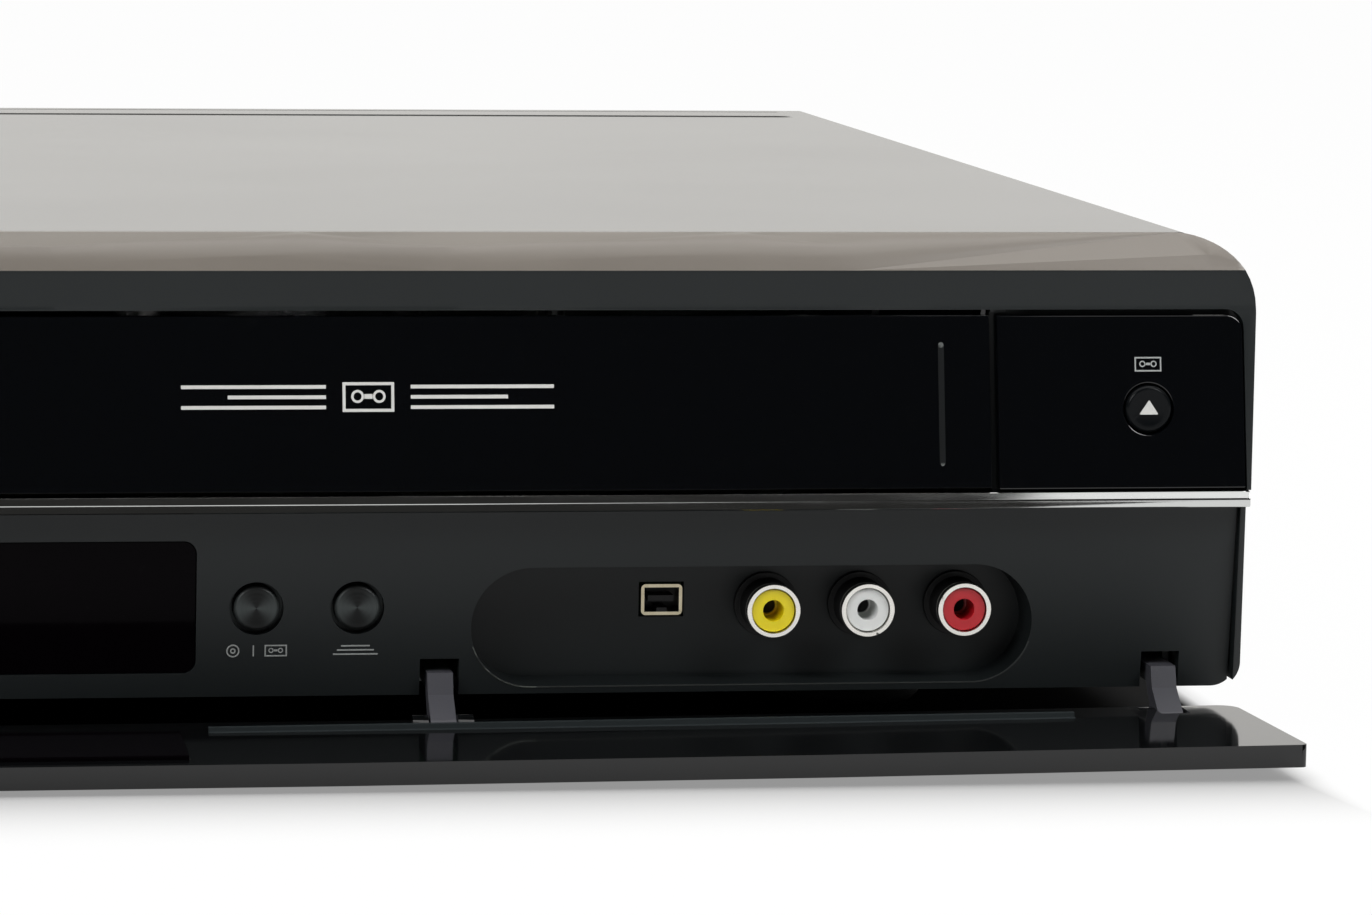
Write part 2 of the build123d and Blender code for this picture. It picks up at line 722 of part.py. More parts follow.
with BuildPart() as flap_spring:
    # Flat wire wound round the flap's left pin, beyond the lug.
    wire = 0.5
    coil_start = flap_centre - lug_inner - lug_thickness - gap - wire
    with BuildLine() as coil:
        Helix(
            pitch=0.9, height=2.7, radius=flap_pin_radius + gap + wire / 2,
            center=(coil_start, face_y + flap_pivot_depth, flap_pivot_height), direction=(-1, 0, 0),
        )
    with BuildSketch(Plane(origin=coil.line @ 0, x_dir=(-1, 0, 0), z_dir=coil.line % 0)):
        Rectangle(wire, wire)
    sweep(is_frenet=True)
finish(flap_spring.part, "flap_spring")

# ---------------------------------------------------------------- buttons
flange_radius = 4.9


def round_button(name, place, height, radius, front, collar, tail, collar_radius):
    """Round key: cap with a dished face, retaining collar and stem to its switch."""
    with BuildPart() as button:
        with BuildSketch(Plane(origin=(place, face_y, height), x_dir=(1, 0, 0), z_dir=(0, 0, 1))) as turn:
            with BuildLine():
                Line((0, front + 0.35), (0, tail))
                Line((0, tail), (1.6, tail))
                Line((1.6, tail), (1.6, collar + 1.0))
                Line((1.6, collar + 1.0), (collar_radius, collar + 1.0))
                Line((collar_radius, collar + 1.0), (collar_radius, collar))
                Line((collar_radius, collar), (radius, collar))
                Line((radius, collar), (radius, front + 0.4))
                Line((radius, front + 0.4), (radius - 0.4, front))
                Line((radius - 0.4, front), (0, front + 0.35))
            make_face()
        revolve(turn.sketch, axis=Axis((place, face_y, height), (0, 1, 0)))
    finish(button.part, name)


panel_tail = board_depth - switch_rise - button_travel - gap
for name, place in [
    ("source_button", source_place), ("scan_button", scan_place), ("play_button", button_places[0]),
    ("stop_button", button_places[1]), ("record_button", button_places[2]),
]:
    face = panel_depth(cap_height) + bow_at(place)
    collar = panel_depth(cap_height - flange_radius) + bow_at(place) + moulding + gap
    round_button(name, place, cap_height, cap_radius, face - 0.2, collar, panel_tail, flange_radius)

switch_depth = 15.6
for name, place in [
    ("eject_button", eject_place), ("power_button", -eject_place), ("open_close_button", open_place),
]:
    face = gloss_depth(eject_height) + bow_at(place)
    collar = gloss_depth(eject_height + 4) + 5.6 + bow_at(place)
    round_button(name, place, eject_height, eject_radius, face - 0.3, collar,
                 switch_depth - button_travel - gap, eject_radius + 0.9)

# ---------------------------------------------------------------- jacks and boards
jack_collar = recess_floor - 1.1
with BuildPart() as jack_shells:
    for place in jack_places:
        lengthwise(place, jack_height, jack_front, jack_collar, jack_radius)
        lengthwise(place, jack_height, jack_collar, recess_floor - gap, jack_radius + 0.85)
        lengthwise(place, jack_height, jack_collar, recess_floor + tub_wall + 3.6, jack_radius - 0.2)
        lengthwise(place, jack_height, 0, 30, jack_insert_radius + 0.1, Mode.SUBTRACT)
finish(jack_shells.part, "jack_shells")

for name, place in zip(("yellow_jack_insert", "white_jack_insert", "red_jack_insert"), jack_places):
    with BuildPart() as insert:
        lengthwise(place, jack_height, jack_front + 0.5, board_depth, jack_insert_radius)
        lengthwise(place, jack_height, 0, 13, jack_hole_radius, Mode.SUBTRACT)
    finish(insert.part, name)

with BuildPart() as dv_socket:
    # Metal shell of the small digital video socket, with its tongue and a notch in its lower side.
    with BuildSketch(front_at(recess_floor - 0.5)) as shell:
        with Locations((socket_place, socket_height)):
            RectangleRounded(socket_width, socket_tall, 0.7)
            RectangleRounded(socket_width - 1.0, socket_tall - 1.0, 0.4, mode=Mode.SUBTRACT)
        with Locations((socket_place, socket_height - socket_tall / 2 + 0.65)):
            Rectangle(1.6, 1.0)
    from_front(shell, board_depth - recess_floor + 0.5)
    block(socket_place - 2.0, socket_place + 2.0, recess_floor + 0.6, board_depth,
          socket_height - 0.4, socket_height + 0.5)
    block(socket_place - socket_width / 2 + 0.2, socket_place + socket_width / 2 - 0.2,
          board_depth - 1.0, board_depth, socket_height - socket_tall / 2 + 0.2,
          socket_height + socket_tall / 2 - 0.2)
finish(dv_socket.part, "dv_socket")

with BuildPart() as front_board:
    block(-196, 196, board_depth, board_depth + board_thickness, 12.2, board_top)
    # Key switches behind the round keys.
    for place in round_holes:
        block(place - 3, place + 3, board_depth - switch_rise, board_depth, cap_height - 3, cap_height + 3)
    # Small riser boards carry the switches of the three keys in the gloss front.
    for place in (-eject_place, open_place, eject_place):
        block(place - 6.5, place + 6.5, switch_depth, switch_depth + board_thickness, board_top - 0.4, 58)
        block(place - 3, place + 3, switch_depth + board_thickness, board_depth, board_top - 2.0, board_top)
finish(front_board.part, "front_board")


def board(x0, x1, depth0, depth1):
    """Circuit board on four pillars, with rounded corners."""
    with BuildSketch(Plane.XY.offset(board_height)) as sheet_outline:
        with Locations(((x0 + x1) / 2, face_y + (depth0 + depth1) / 2)):
            RectangleRounded(x1 - x0, depth1 - depth0, 2.0)
    extrude(sheet_outline.sketch, amount=board_thickness)
    for x in (x0 + 6, x1 - 6):
        for depth in (depth0 + 6, depth1 - 6):
            upright(x, depth, floor_top, board_height, 2.5)


board_height = 15.0
parts_height = board_height + board_thickness

with BuildPart() as main_board:
    board(-34, 196, 250, 326)
    for x, depth, size, tall in [(30, 285, 28, 2.6), (75, 280, 20, 2.2), (150, 295, 24, 2.6), (-5, 275, 14, 2.0)]:
        block(x - size / 2, x + size / 2, depth - size / 2, depth + size / 2, parts_height, parts_height + tall)
    for x, depth in [(5, 300), (60, 302), (105, 262), (112, 262), (172, 270), (180, 270)]:
        upright(x, depth, parts_height, parts_height + 9, 2.6)
    for x in (-20, 120):
        block(x - 14, x + 14, 252, 257, parts_height, parts_height + 7)
finish(main_board.part, "main_board")

with BuildPart() as power_board:
    board(-198, -52, 232, 318)
    # Transformer: core with a wound bobbin standing out at both sides.
    block(-118, -84, 262, 290, parts_height, parts_height + 26)
    block(-113, -89, 258, 294, parts_height + 4, parts_height + 22)
    # Smoothing capacitor, small capacitors and the finned heat sink.
    upright(-150, 262, parts_height, parts_height + 30, 11.0)
    for x, depth in [(-66, 252), (-66, 264), (-66, 276), (-66, 288)]:
        upright(x, depth, parts_height, parts_height + 16, 4.6)
    block(-132, -92, 244, 247, parts_height, parts_height + 26)
    for step in range(8):
        block(-131 + 5 * step, -129.5 + 5 * step, 238, 244.1, parts_height, parts_height + 26)
    # Fuse holder and choke near the mains inlet.
    lengthwise(-186, parts_height + 4, 262, 284, 3.2)
    block(-190, -182, 264, 282, parts_height, parts_height + 2)
    block(-176, -162, 284, 300, parts_height, parts_height + 16)
finish(power_board.part, "power_board")

inlet_face = strip_depth + cover_length + 1.2
with BuildPart() as ac_inlet:
    block(inlet_place - inlet_half_width, inlet_place + inlet_half_width, 318.6, inlet_face - 1.4,
          inlet_height - inlet_half_height, inlet_height + inlet_half_height)
    with BuildSketch(front_at(inlet_face - 2.3)) as flange:
        with Locations((inlet_place, inlet_height)):
            RectangleRounded(2 * inlet_half_width + 4, 2 * inlet_half_height + 4, 1.5)
    from_front(flange, 2.3)
    with BuildSketch(front_at(inlet_face - 9)) as lobes:
        for side in (-1, 1):
            with Locations((inlet_place + side * 4.3, inlet_height)):
                Circle(4.4)
        with Locations((inlet_place, inlet_height)):
            Rectangle(8.6, 6.8)
    from_front(lobes, 20, Mode.SUBTRACT)
    for side in (-1, 1):
        lengthwise(inlet_place + side * 4.3, inlet_height, inlet_face - 9.5, inlet_face - 1.5, 1.2)
finish(ac_inlet.part, "ac_inlet")

jack_end = strip_depth + cover_length + jack_reach
with BuildPart() as rear_jack_block:
    block(-13, 85, 327, strip_depth + cover_length - gap - 2 * sheet - 0.2, 23, 58)
    for x, z in jack_grid:
        lengthwise(x, z, 330, jack_end, jack_radius)
        lengthwise(x, z, jack_end - 7, jack_end + 1, 1.6, Mode.SUBTRACT)
    # Feet of the block stand on the main board.
    block(-12, 84, 327.5, 337, parts_height + 4.0, 24)
finish(rear_jack_block.part, "rear_jack_block")

with BuildPart() as antenna_block:
    block(114, 150, 300, strip_depth + cover_length - gap - 2 * sheet - 0.2, parts_height + 3.0, 62)
    for z in antenna_heights:
        lengthwise(antenna_place, z, 330, jack_end, 4.75)
        lengthwise(antenna_place, z, jack_end - 8, jack_end + 1, 3.6, Mode.SUBTRACT)
        lengthwise(antenna_place, z, jack_end - 9, jack_end - 0.4, 2.4)
        lengthwise(antenna_place, z, jack_end - 6, jack_end + 1, 0.7, Mode.SUBTRACT)
finish(antenna_block.part, "antenna_block")

fan_back = strip_depth + cover_length - gap - 2 * sheet - 0.3
fan_front = fan_back - fan_thickness
with BuildPart() as fan_frame:
    with BuildSketch(front_at(fan_front)) as frame:
        with Locations((fan_place, fan_height)):
            RectangleRounded(fan_size, fan_size, 3.0)
            Circle(fan_size / 2 - 1.5, mode=Mode.SUBTRACT)
            with GridLocations(fan_size - 8, fan_size - 8, 2, 2):
                Circle(1.7, mode=Mode.SUBTRACT)
    from_front(frame, fan_thickness)
    with BuildSketch(front_at(fan_back - 1.5)) as spider:
        with Locations((fan_place, fan_height)):
            Circle(10.0)
            for turn in (30, 90, 150):
                Rectangle(fan_size - 2.0, 2.2, rotation=turn)
    from_front(spider, 1.5)
    lengthwise(fan_place, fan_height, fan_front + 2.6, fan_back - 1.0, 1.5)
finish(fan_frame.part, "fan_frame")

with BuildPart() as fan_impeller:
    lengthwise(fan_place, fan_height, fan_front + 0.6, fan_back - 2.2, 9.5)
    blade_count = 7
    for blade in range(blade_count):
        turn = blade * 360 / blade_count
        place = Plane(
            origin=(fan_place, face_y + (fan_front + fan_back - 1.6) / 2, fan_height),
            x_dir=(cos(radians(turn)), 0, sin(radians(turn))),
            z_dir=(cos(radians(turn + 90)) * sin(radians(35)), cos(radians(35)),
                   sin(radians(turn + 90)) * sin(radians(35))),
        )
        with BuildSketch(place) as vane:
            with Locations((15.2, 0)):
                Rectangle(13.6, 8.2)
        extrude(vane.sketch, amount=0.6, both=True)
    lengthwise(fan_place, fan_height, fan_front, fan_back, 1.56, Mode.SUBTRACT)
    lengthwise(fan_place, fan_height, fan_front + 0.6, fan_front + 2.2, 9.5)
finish(fan_impeller.part, "fan_impeller")

# ---------------------------------------------------------------- disc loader
tray_start = 11.0
tray_top = tray_bottom + tray_thickness
tray_floor = tray_bottom + 1.5
well_floor = tray_top - 1.6
small_well_floor = tray_top - 3.2
disc_centre = tray_start + disc_depth
tray_half = tray_width / 2

tooth_module = 1.0
gear_teeth = 18
tooth_backlash = 0.2
pressure_angle = 20.0
addendum = 0.85 * tooth_module
dedendum = 1.05 * tooth_module
gear_radius = tooth_module * gear_teeth / 2
tooth_pitch = pi * tooth_module
tooth_width = tooth_pitch / 2 - tooth_backlash
gear_depth = 36.0
rack_line = 51.5            # rack pitch line right of the tray's centre
gear_post_radius = 2.0
gear_place = tray_centre + rack_line - gear_radius
gear_bottom = tray_bottom - 3.6
gear_top = tray_bottom - gap
rack_teeth = 48


def rack_tooth():
    """Straight-sided tooth that points along +X from the pitch line."""
    slope = tan(radians(pressure_angle))
    root = tooth_width / 2 + slope * (dedendum + 0.1)
    tip = tooth_width / 2 - slope * addendum
    with BuildLine() as edge:
        Polyline(
            (-dedendum - 0.1, -root), (addendum, -tip), (addendum, tip), (-dedendum - 0.1, root), close=True
        )
    return make_face(edge.edges(), mode=Mode.PRIVATE)


def flank_point(radius, side):
    """Point of the involute flank of a tooth on the X axis, at this distance from the gear's centre."""
    base = gear_radius * cos(radians(pressure_angle))
    angle = acos(min(1.0, base / radius))
    start = radians(pressure_angle)
    half = tooth_width / (2 * gear_radius) + (tan(start) - start) - (tan(angle) - angle)
    return (radius * cos(half), side * radius * sin(half))


def gear_tooth():
    """Involute tooth that points along +X, with its root inside the gear's body."""
    base = gear_radius * cos(radians(pressure_angle))
    middle = (base + gear_radius + addendum) / 2
    tip = gear_radius + addendum
    inside = gear_radius - dedendum - 0.4
    with BuildLine() as edge:
        low, high = flank_point(base, -1), flank_point(base, 1)
        ThreePointArc(low, flank_point(middle, -1), flank_point(tip, -1))
        Line(flank_point(tip, -1), flank_point(tip, 1))
        ThreePointArc(flank_point(tip, 1), flank_point(middle, 1), high)
        Polyline(high, (inside, high[1]), (inside, low[1]), low)
    return make_face(edge.edges(), mode=Mode.PRIVATE)


with BuildPart() as disc_tray:
    block(tray_centre - tray_half, tray_centre + tray_half, tray_start, tray_start + tray_length,
          tray_bottom, tray_top)
    block(tray_centre - tray_half + 5, tray_centre + tray_half - 5, tray_start + 3,
          tray_start + tray_length - 3, tray_bottom - 1, tray_floor, Mode.SUBTRACT)
    # Wells for large and small discs, and the keyhole for the spindle and pickup.
    with BuildSketch(Plane.XY.offset(well_floor)) as well:
        with Locations((tray_centre, face_y + disc_centre)):
            Circle(disc_radius + 0.8)
    extrude(well.sketch, amount=10, mode=Mode.SUBTRACT)
    with BuildSketch(Plane.XY.offset(small_well_floor)) as well:
        with Locations((tray_centre, face_y + disc_centre)):
            Circle(40.6)
    extrude(well.sketch, amount=10, mode=Mode.SUBTRACT)
    with BuildSketch(Plane.XY.offset(tray_bottom - 1)) as keyhole:
        with Locations((tray_centre, face_y + disc_centre)):
            Circle(19.0)
        with Locations((tray_centre, face_y + disc_centre + 29)):
            Rectangle(36, 58)
    extrude(keyhole.sketch, amount=20, mode=Mode.SUBTRACT)
    # Finger notches at the sides of the well.
    for side in (-1, 1):
        with BuildSketch(Plane.XY.offset(well_floor)) as notch:
            with Locations((tray_centre + side * 46, face_y + disc_centre - 40)):
                Circle(11.0)
        extrude(notch.sketch, amount=10, mode=Mode.SUBTRACT)
    # Rack under the right edge.
    root = tray_centre + rack_line + dedendum
    first = gear_depth - 3 * tooth_pitch
    last = first + (rack_teeth - 1) * tooth_pitch
    block(root, root + 2.4, first - 1.6, last + 1.6, gear_bottom + 0.4, tray_floor + 0.2)
    for step in range(rack_teeth):
        centre = (tray_centre + rack_line, face_y + first + step * tooth_pitch, gear_bottom + 0.4)
        with BuildSketch(Plane(origin=centre, x_dir=(-1, 0, 0), z_dir=(0, 0, 1))) as tooth:
            add(rack_tooth())
        extrude(tooth.sketch, amount=tray_floor - gear_bottom - 0.4 + 0.2)
finish(disc_tray.part, "disc_tray")

with BuildPart() as tray_front:
    with BuildSketch(front_at(-5)) as outline:
        with Locations((tray_centre, (tray_front_bottom + tray_front_top) / 2)):
            RectangleRounded(tray_front_width, tray_front_top - tray_front_bottom, 1.0)
    from_front(outline, 30)
    bowed(gloss_slab(0, plate_back), mode=Mode.INTERSECT)
    block(tray_centre - 60, tray_centre + 60, 3.6, tray_start, tray_bottom - 1.5, tray_top + 1.5)
finish(tray_front.part, "tray_front")

with BuildPart() as tray_gear:
    upright(gear_place, gear_depth, gear_bottom, gear_top, gear_radius - dedendum)
    with BuildSketch(Plane(origin=(gear_place, face_y + gear_depth, gear_bottom))) as teeth:
        with PolarLocations(0, gear_teeth, start_angle=180 / gear_teeth):
            add(gear_tooth())
    extrude(teeth.sketch, amount=gear_top - gear_bottom)
    # Grooved pulley below the teeth.
    with BuildSketch(Plane.XZ.offset(-(face_y + gear_depth))) as pulley:
        with BuildLine():
            Polyline(
                (gear_place, gear_bottom - 5.5), (gear_place + 12.5, gear_bottom - 5.5),
                (gear_place + 12.5, gear_bottom - 4.9), (gear_place + 10.8, gear_bottom - 3.4),
                (gear_place + 12.5, gear_bottom - 1.9), (gear_place + 12.5, gear_bottom - 1.2),
                (gear_place, gear_bottom - 1.2), close=True,
            )
        make_face()
    revolve(pulley.sketch, axis=Axis((gear_place, face_y + gear_depth, 0), (0, 0, 1)))
    upright(gear_place, gear_depth, gear_bottom - 1.3, gear_bottom, 6.0)
    upright(gear_place, gear_depth, 30, 60, gear_post_radius + pivot_clearance, Mode.SUBTRACT)
finish(tray_gear.part, "tray_gear")

loader_half = tray_half + 4.0
loader_front = 22.0
loader_back = 188.0
loader_floor = 32.0
ledge_top = tray_bottom - gap
traverse_top = 38.0
traverse_pivot_depth = 168.0
traverse_pivot_height = 37.0
traverse_pin_radius = 2.0

with BuildPart() as loader_frame:
    block(tray_centre - loader_half, tray_centre + loader_half, loader_front, loader_back,
          loader_floor - 2, loader_floor)
    block(tray_centre - 44, tray_centre + 44, 52, 176, 20, 60, Mode.SUBTRACT)
    for side in (-1, 1):
        outer = tray_centre + side * loader_half
        wall = tray_centre + side * (tray_half + 1.2)
        ledge = tray_centre + side * (tray_half - 4.6)
        block(min(outer, wall), max(outer, wall), loader_front, loader_back, loader_floor - 2, 60)
        block(min(outer, ledge), max(outer, ledge), loader_front, loader_back - 3, ledge_top - 2, ledge_top)
        lip = tray_centre + side * (tray_half - 2.5)
        for depth in (26, 96, 158):
            block(min(outer, lip), max(outer, lip), depth, depth + 12, tray_top + 0.4, tray_top + 1.8)
        lug_near = tray_centre + side * 44.3
        lug_far = tray_centre + side * 48.3
        block(min(lug_near, lug_far), max(lug_near, lug_far), traverse_pivot_depth - 5,
              traverse_pivot_depth + 5, loader_floor - 1, traverse_pivot_height + 4.5)
        crosswise(tray_centre - 60, tray_centre + 60, traverse_pivot_depth, traverse_pivot_height,
                  traverse_pin_radius + pivot_clearance, Mode.SUBTRACT)
    block(tray_centre - loader_half, tray_centre + loader_half, loader_back - 3, loader_back,
          loader_floor - 2, 45)
    block(tray_centre - loader_half, tray_centre + loader_half, loader_front, loader_front + 2.4,
          loader_floor - 2, 36)
    upright(gear_place, gear_depth, loader_floor - 1, gear_top - 0.2, gear_post_radius)
    upright(gear_place, gear_depth, loader_floor - 1, gear_bottom - 5.8, 4.5)
    for x in (tray_centre - 64, tray_centre + 64):
        for depth in (30.0, 180.0):
            upright(x, depth, floor_top, loader_floor - 1, 4.0)
finish(loader_frame.part, "loader_frame")

rail_places = (-22.0, 22.0)
screw_place = 29.0
rail_height = 40.5
rail_radius = 1.5
rail_start = 89.0
rail_end = 155.0
spindle_radius = 1.2

with BuildPart() as traverse_frame:
    block(tray_centre - 40, tray_centre + 40, 56, 172, traverse_top - 2, traverse_top)
    with BuildSketch(Plane.XY.offset(traverse_top - 3)) as window:
        with Locations((tray_centre, face_y + 121)):
            RectangleRounded(34, 57, 4)
    extrude(window.sketch, amount=5, mode=Mode.SUBTRACT)
    for side in (-1, 1):
        near = tray_centre + side * 39
        far = tray_centre + side * 48.0
        crosswise(min(near, far), max(near, far), traverse_pivot_depth, traverse_pivot_height,
                  traverse_pin_radius)
    # Spindle motor.
    upright(tray_centre, disc_centre, traverse_top - 5, traverse_top + 2.0, 11.0)
    upright(tray_centre, disc_centre, traverse_top - 4, traverse_top + 5, spindle_radius + pivot_clearance,
            Mode.SUBTRACT)
    # Bosses that hold the rails and the lead screw.
    for start in (rail_start - 3, rail_end):
        for place in rail_places:
            block(tray_centre + place - 2.2, tray_centre + place + 2.2, start, start + 3,
                  traverse_top - 0.5, rail_height + 2.2)
        block(tray_centre + screw_place - 2.4, tray_centre + screw_place + 2.4, start, start + 3,
              traverse_top - 0.5, rail_height + 2.4)
    lengthwise(tray_centre + screw_place, rail_height, rail_start - 10, rail_end + 10,
               rail_radius + pivot_clearance, Mode.SUBTRACT)
finish(traverse_frame.part, "traverse_frame")

with BuildPart() as guide_rails:
    for place in rail_places:
        lengthwise(tray_centre + place, rail_height, rail_start, rail_end, rail_radius)
finish(guide_rails.part, "guide_rails")

with BuildPart() as lead_screw:
    lengthwise(tray_centre + screw_place, rail_height, rail_start - 2.8, rail_end + 2.8, rail_radius)
finish(lead_screw.part, "lead_screw")

sled_front = 90.0
sled_length = 26.0
lens_place = 11.0

with BuildPart() as pickup_sled:
    with BuildSketch(Plane.XY.offset(traverse_top + 0.6)) as body:
        with Locations((tray_centre, face_y + sled_front + sled_length / 2)):
            RectangleRounded(51, sled_length, 2.5)
            with Locations((screw_place - 1.0, 0)):
                Rectangle(9, 8)
    extrude(body.sketch, amount=3.8)
    for place in rail_places:
        lengthwise(tray_centre + place, rail_height, sled_front - 1, sled_front + sled_length + 1,
                   rail_radius + pivot_clearance, Mode.SUBTRACT)
    lengthwise(tray_centre + screw_place, rail_height, sled_front - 1, sled_front + sled_length + 1,
               rail_radius + pivot_clearance, Mode.SUBTRACT)
    upright(tray_centre, sled_front + lens_place, traverse_top + 4.0, traverse_top + 5.4, 4.6)
    upright(tray_centre, sled_front + lens_place, traverse_top + 5.0, traverse_top + 6.0, 2.4)
    block(tray_centre - 10, tray_centre + 10, sled_front + 5, sled_front + 21, traverse_top - 3.6, traverse_top + 1)
finish(pickup_sled.part, "pickup_sled")

turntable_disc = traverse_top + 5.0
with BuildPart() as turntable:
    with BuildSketch(front_at(disc_centre)) as turn:
        with BuildLine():
            Polyline(
                (tray_centre, traverse_top - 3.6), (tray_centre + spindle_radius, traverse_top - 3.6),
                (tray_centre + spindle_radius, turntable_disc - 0.6), (tray_centre + 14.5, turntable_disc),
                (tray_centre + 15, turntable_disc + 0.4), (tray_centre + 15, turntable_disc + 2),
                (tray_centre + 7.4, turntable_disc + 2), (tray_centre + 7.2, turntable_disc + 3.6),
                (tray_centre + 5.0, turntable_disc + 5.4), (tray_centre, turntable_disc + 5.6), close=True,
            )
        make_face()
    revolve(turn.sketch, axis=Axis((tray_centre, face_y + disc_centre, 0), (0, 0, 1)))
finish(turntable.part, "turntable")

bridge_bottom = 60.0
bridge_hole = 13.0
with BuildPart() as clamp_bridge:
    with BuildSketch(Plane.XY.offset(bridge_bottom)) as strip:
        with Locations((tray_centre, face_y + disc_centre)):
            Rectangle(2 * loader_half, 24)
            Circle(19.0)
            Circle(bridge_hole, mode=Mode.SUBTRACT)
            with GridLocations(84, 12, 2, 2):
                SlotOverall(30, 4, mode=Mode.SUBTRACT)
    extrude(strip.sketch, amount=1.2)
finish(clamp_bridge.part, "clamp_bridge")

with BuildPart() as clamp_puck:
    with BuildSketch(front_at(disc_centre)) as turn:
        with BuildLine():
            Polyline(
                (tray_centre, 59.2), (tray_centre + 5.4, 59.2), (tray_centre + 6.4, 58.5),
                (tray_centre + bridge_hole - 0.6, 58.5), (tray_centre + bridge_hole - 0.6, bridge_bottom + 1.5),
                (tray_centre + 16, bridge_bottom + 1.5), (tray_centre + 16, bridge_bottom + 3.0),
                (tray_centre + 8, bridge_bottom + 3.6), (tray_centre, bridge_bottom + 3.6), close=True,
            )
        make_face()
    revolve(turn.sketch, axis=Axis((tray_centre, face_y + disc_centre, 0), (0, 0, 1)))
finish(clamp_puck.part, "clamp_puck")

# ---------------------------------------------------------------- tape deck
basket_half = cassette_width / 2 + 2.0
basket_wall = 1.2
plate_near = basket_half + gap
plate_far = plate_near + 1.2
bracket_near = plate_far + gap
bracket_far = bracket_near + 1.2
deck_half = bracket_far + 5.5
pin_depths = (basket_front + 14.0, basket_front + 66.0)
pin_height = 50.0
pin_slot = 2 * (basket_pin_radius + 0.2)
deck_sheet = 1.5
capstan_place = flap_centre + 52.0
capstan_depth = 178.0
capstan_radius = 1.8
reel_post_radius = 1.9
pinch_pivot_place = flap_centre + 75.0
pinch_pivot_depth = 197.0
pinch_post_radius = 2.0
pinch_length = 25.0
pinch_radius = 6.5
pinch_swing = 28.0
pinch_gap = 0.3
drum_seat = deck_height + 2.0
drum_split = 17.0
drum_top = 32.0
drum_shaft_radius = 3.0
drum_plane = Plane(
    origin=(flap_centre, face_y + drum_depth, drum_seat),
    x_dir=(cos(radians(drum_tilt)), 0, -sin(radians(drum_tilt))),
    z_dir=(sin(radians(drum_tilt)), 0, cos(radians(drum_tilt))),
)

# The pinch roller's rest place follows from where it meets the capstan.
pinch_reach = hypot(pinch_pivot_place - capstan_place, pinch_pivot_depth - capstan_depth)
pinch_meet = capstan_radius + pinch_radius + pinch_gap
pinch_corner = degrees(acos((pinch_length**2 + pinch_reach**2 - pinch_meet**2) / (2 * pinch_length * pinch_reach)))
pinch_towards = degrees(atan2(capstan_depth - pinch_pivot_depth, capstan_place - pinch_pivot_place))
pinch_rest = pinch_towards - pinch_corner - pinch_swing
roller_place = pinch_pivot_place + pinch_length * cos(radians(pinch_rest))
roller_depth = pinch_pivot_depth + pinch_length * sin(radians(pinch_rest))

post_seat = 0.05            # the posts are pieces of their own, seated this close to the plate
post_foot = deck_height + post_seat
bearing_top = deck_height + 6.0
roller_bottom = bearing_top + 1.5

with BuildPart() as deck_chassis:
    with BuildSketch(Plane.XY.offset(deck_height - deck_sheet)) as plate:
        with Locations((flap_centre, face_y + (deck_front + deck_back) / 2)):
            Rectangle(2 * deck_half, deck_back - deck_front)
        fillet(plate.vertices(), 4.0)
        with Locations((flap_centre, face_y + 70)):
            RectangleRounded(110, 26, 4, mode=Mode.SUBTRACT)
        with Locations((flap_centre, face_y + 150)):
            SlotOverall(60, 12, mode=Mode.SUBTRACT)
    extrude(plate.sketch, amount=deck_sheet)
    for x in (flap_centre - 94, flap_centre + 94):
        for depth in (deck_front + 8, deck_back - 8):
            upright(x, depth, floor_top, deck_height - deck_sheet - post_seat, 4.0)
    upright(capstan_place, capstan_depth, post_foot, bearing_top, 4.5)
    upright(capstan_place, capstan_depth, 10, 60, capstan_radius + pivot_clearance, Mode.SUBTRACT)
    for side in (-1, 1):
        upright(flap_centre + side * reel_spacing / 2, reel_depth, post_foot, deck_height + 10.5, reel_post_radius)
        # Tape guide with its two flanges.
        guide = flap_centre + side * 39
        upright(guide, 188, post_foot, deck_height + 19, 1.8)
        upright(guide, 188, deck_height + 3.0, deck_height + 4.2, 3.2)
        upright(guide, 188, deck_height + 17.5, deck_height + 18.7, 3.2)
    upright(pinch_pivot_place, pinch_pivot_depth, post_foot, deck_height + 8.5, pinch_post_radius)
finish(deck_chassis.part, "deck_chassis")

with BuildPart() as drum_base:
    with BuildSketch(drum_plane.offset(-4)) as barrel:
        Circle(drum_radius)
    extrude(barrel.sketch, amount=drum_split + 4)
    block(0, 200, 100, 300, 0, drum_seat - 0.6, Mode.SUBTRACT)
    upright(flap_centre, drum_depth, deck_height, drum_seat, drum_radius + 0.5)
    with BuildSketch(drum_plane.offset(drum_split - 1)) as spindle:
        Circle(drum_shaft_radius)
    extrude(spindle.sketch, amount=drum_top - drum_split - 1)
    # Helical ledge that guides the tape is cut as a step round the barrel.
    with BuildSketch(drum_plane.offset(drum_split - 6)) as ledge:
        Circle(drum_radius + 5)
        Circle(drum_radius - 0.4, mode=Mode.SUBTRACT)
    extrude(ledge.sketch, amount=6.5, mode=Mode.SUBTRACT)
finish(drum_base.part, "drum_base")

with BuildPart() as head_drum:
    with BuildSketch(drum_plane.offset(drum_split + gap)) as barrel:
        Circle(drum_radius - 0.4)
    extrude(barrel.sketch, amount=drum_top - drum_split - gap)
    with BuildSketch(drum_plane.offset(drum_split + 8)) as hollow:
        Circle(drum_radius - 4)
        Circle(drum_radius / 3 + 1, mode=Mode.SUBTRACT)
    extrude(hollow.sketch, amount=20, mode=Mode.SUBTRACT)
    with BuildSketch(drum_plane.offset(drum_split)) as bore:
        Circle(drum_shaft_radius + pivot_clearance)
    extrude(bore.sketch, amount=40, mode=Mode.SUBTRACT)
    # Slots for the video heads.
    with BuildSketch(drum_plane.offset(drum_split)) as slots:
        with PolarLocations(drum_radius - 1, 6):
            Rectangle(3.0, 1.6)
    extrude(slots.sketch, amount=3.0, mode=Mode.SUBTRACT)
finish(head_drum.part, "head_drum")

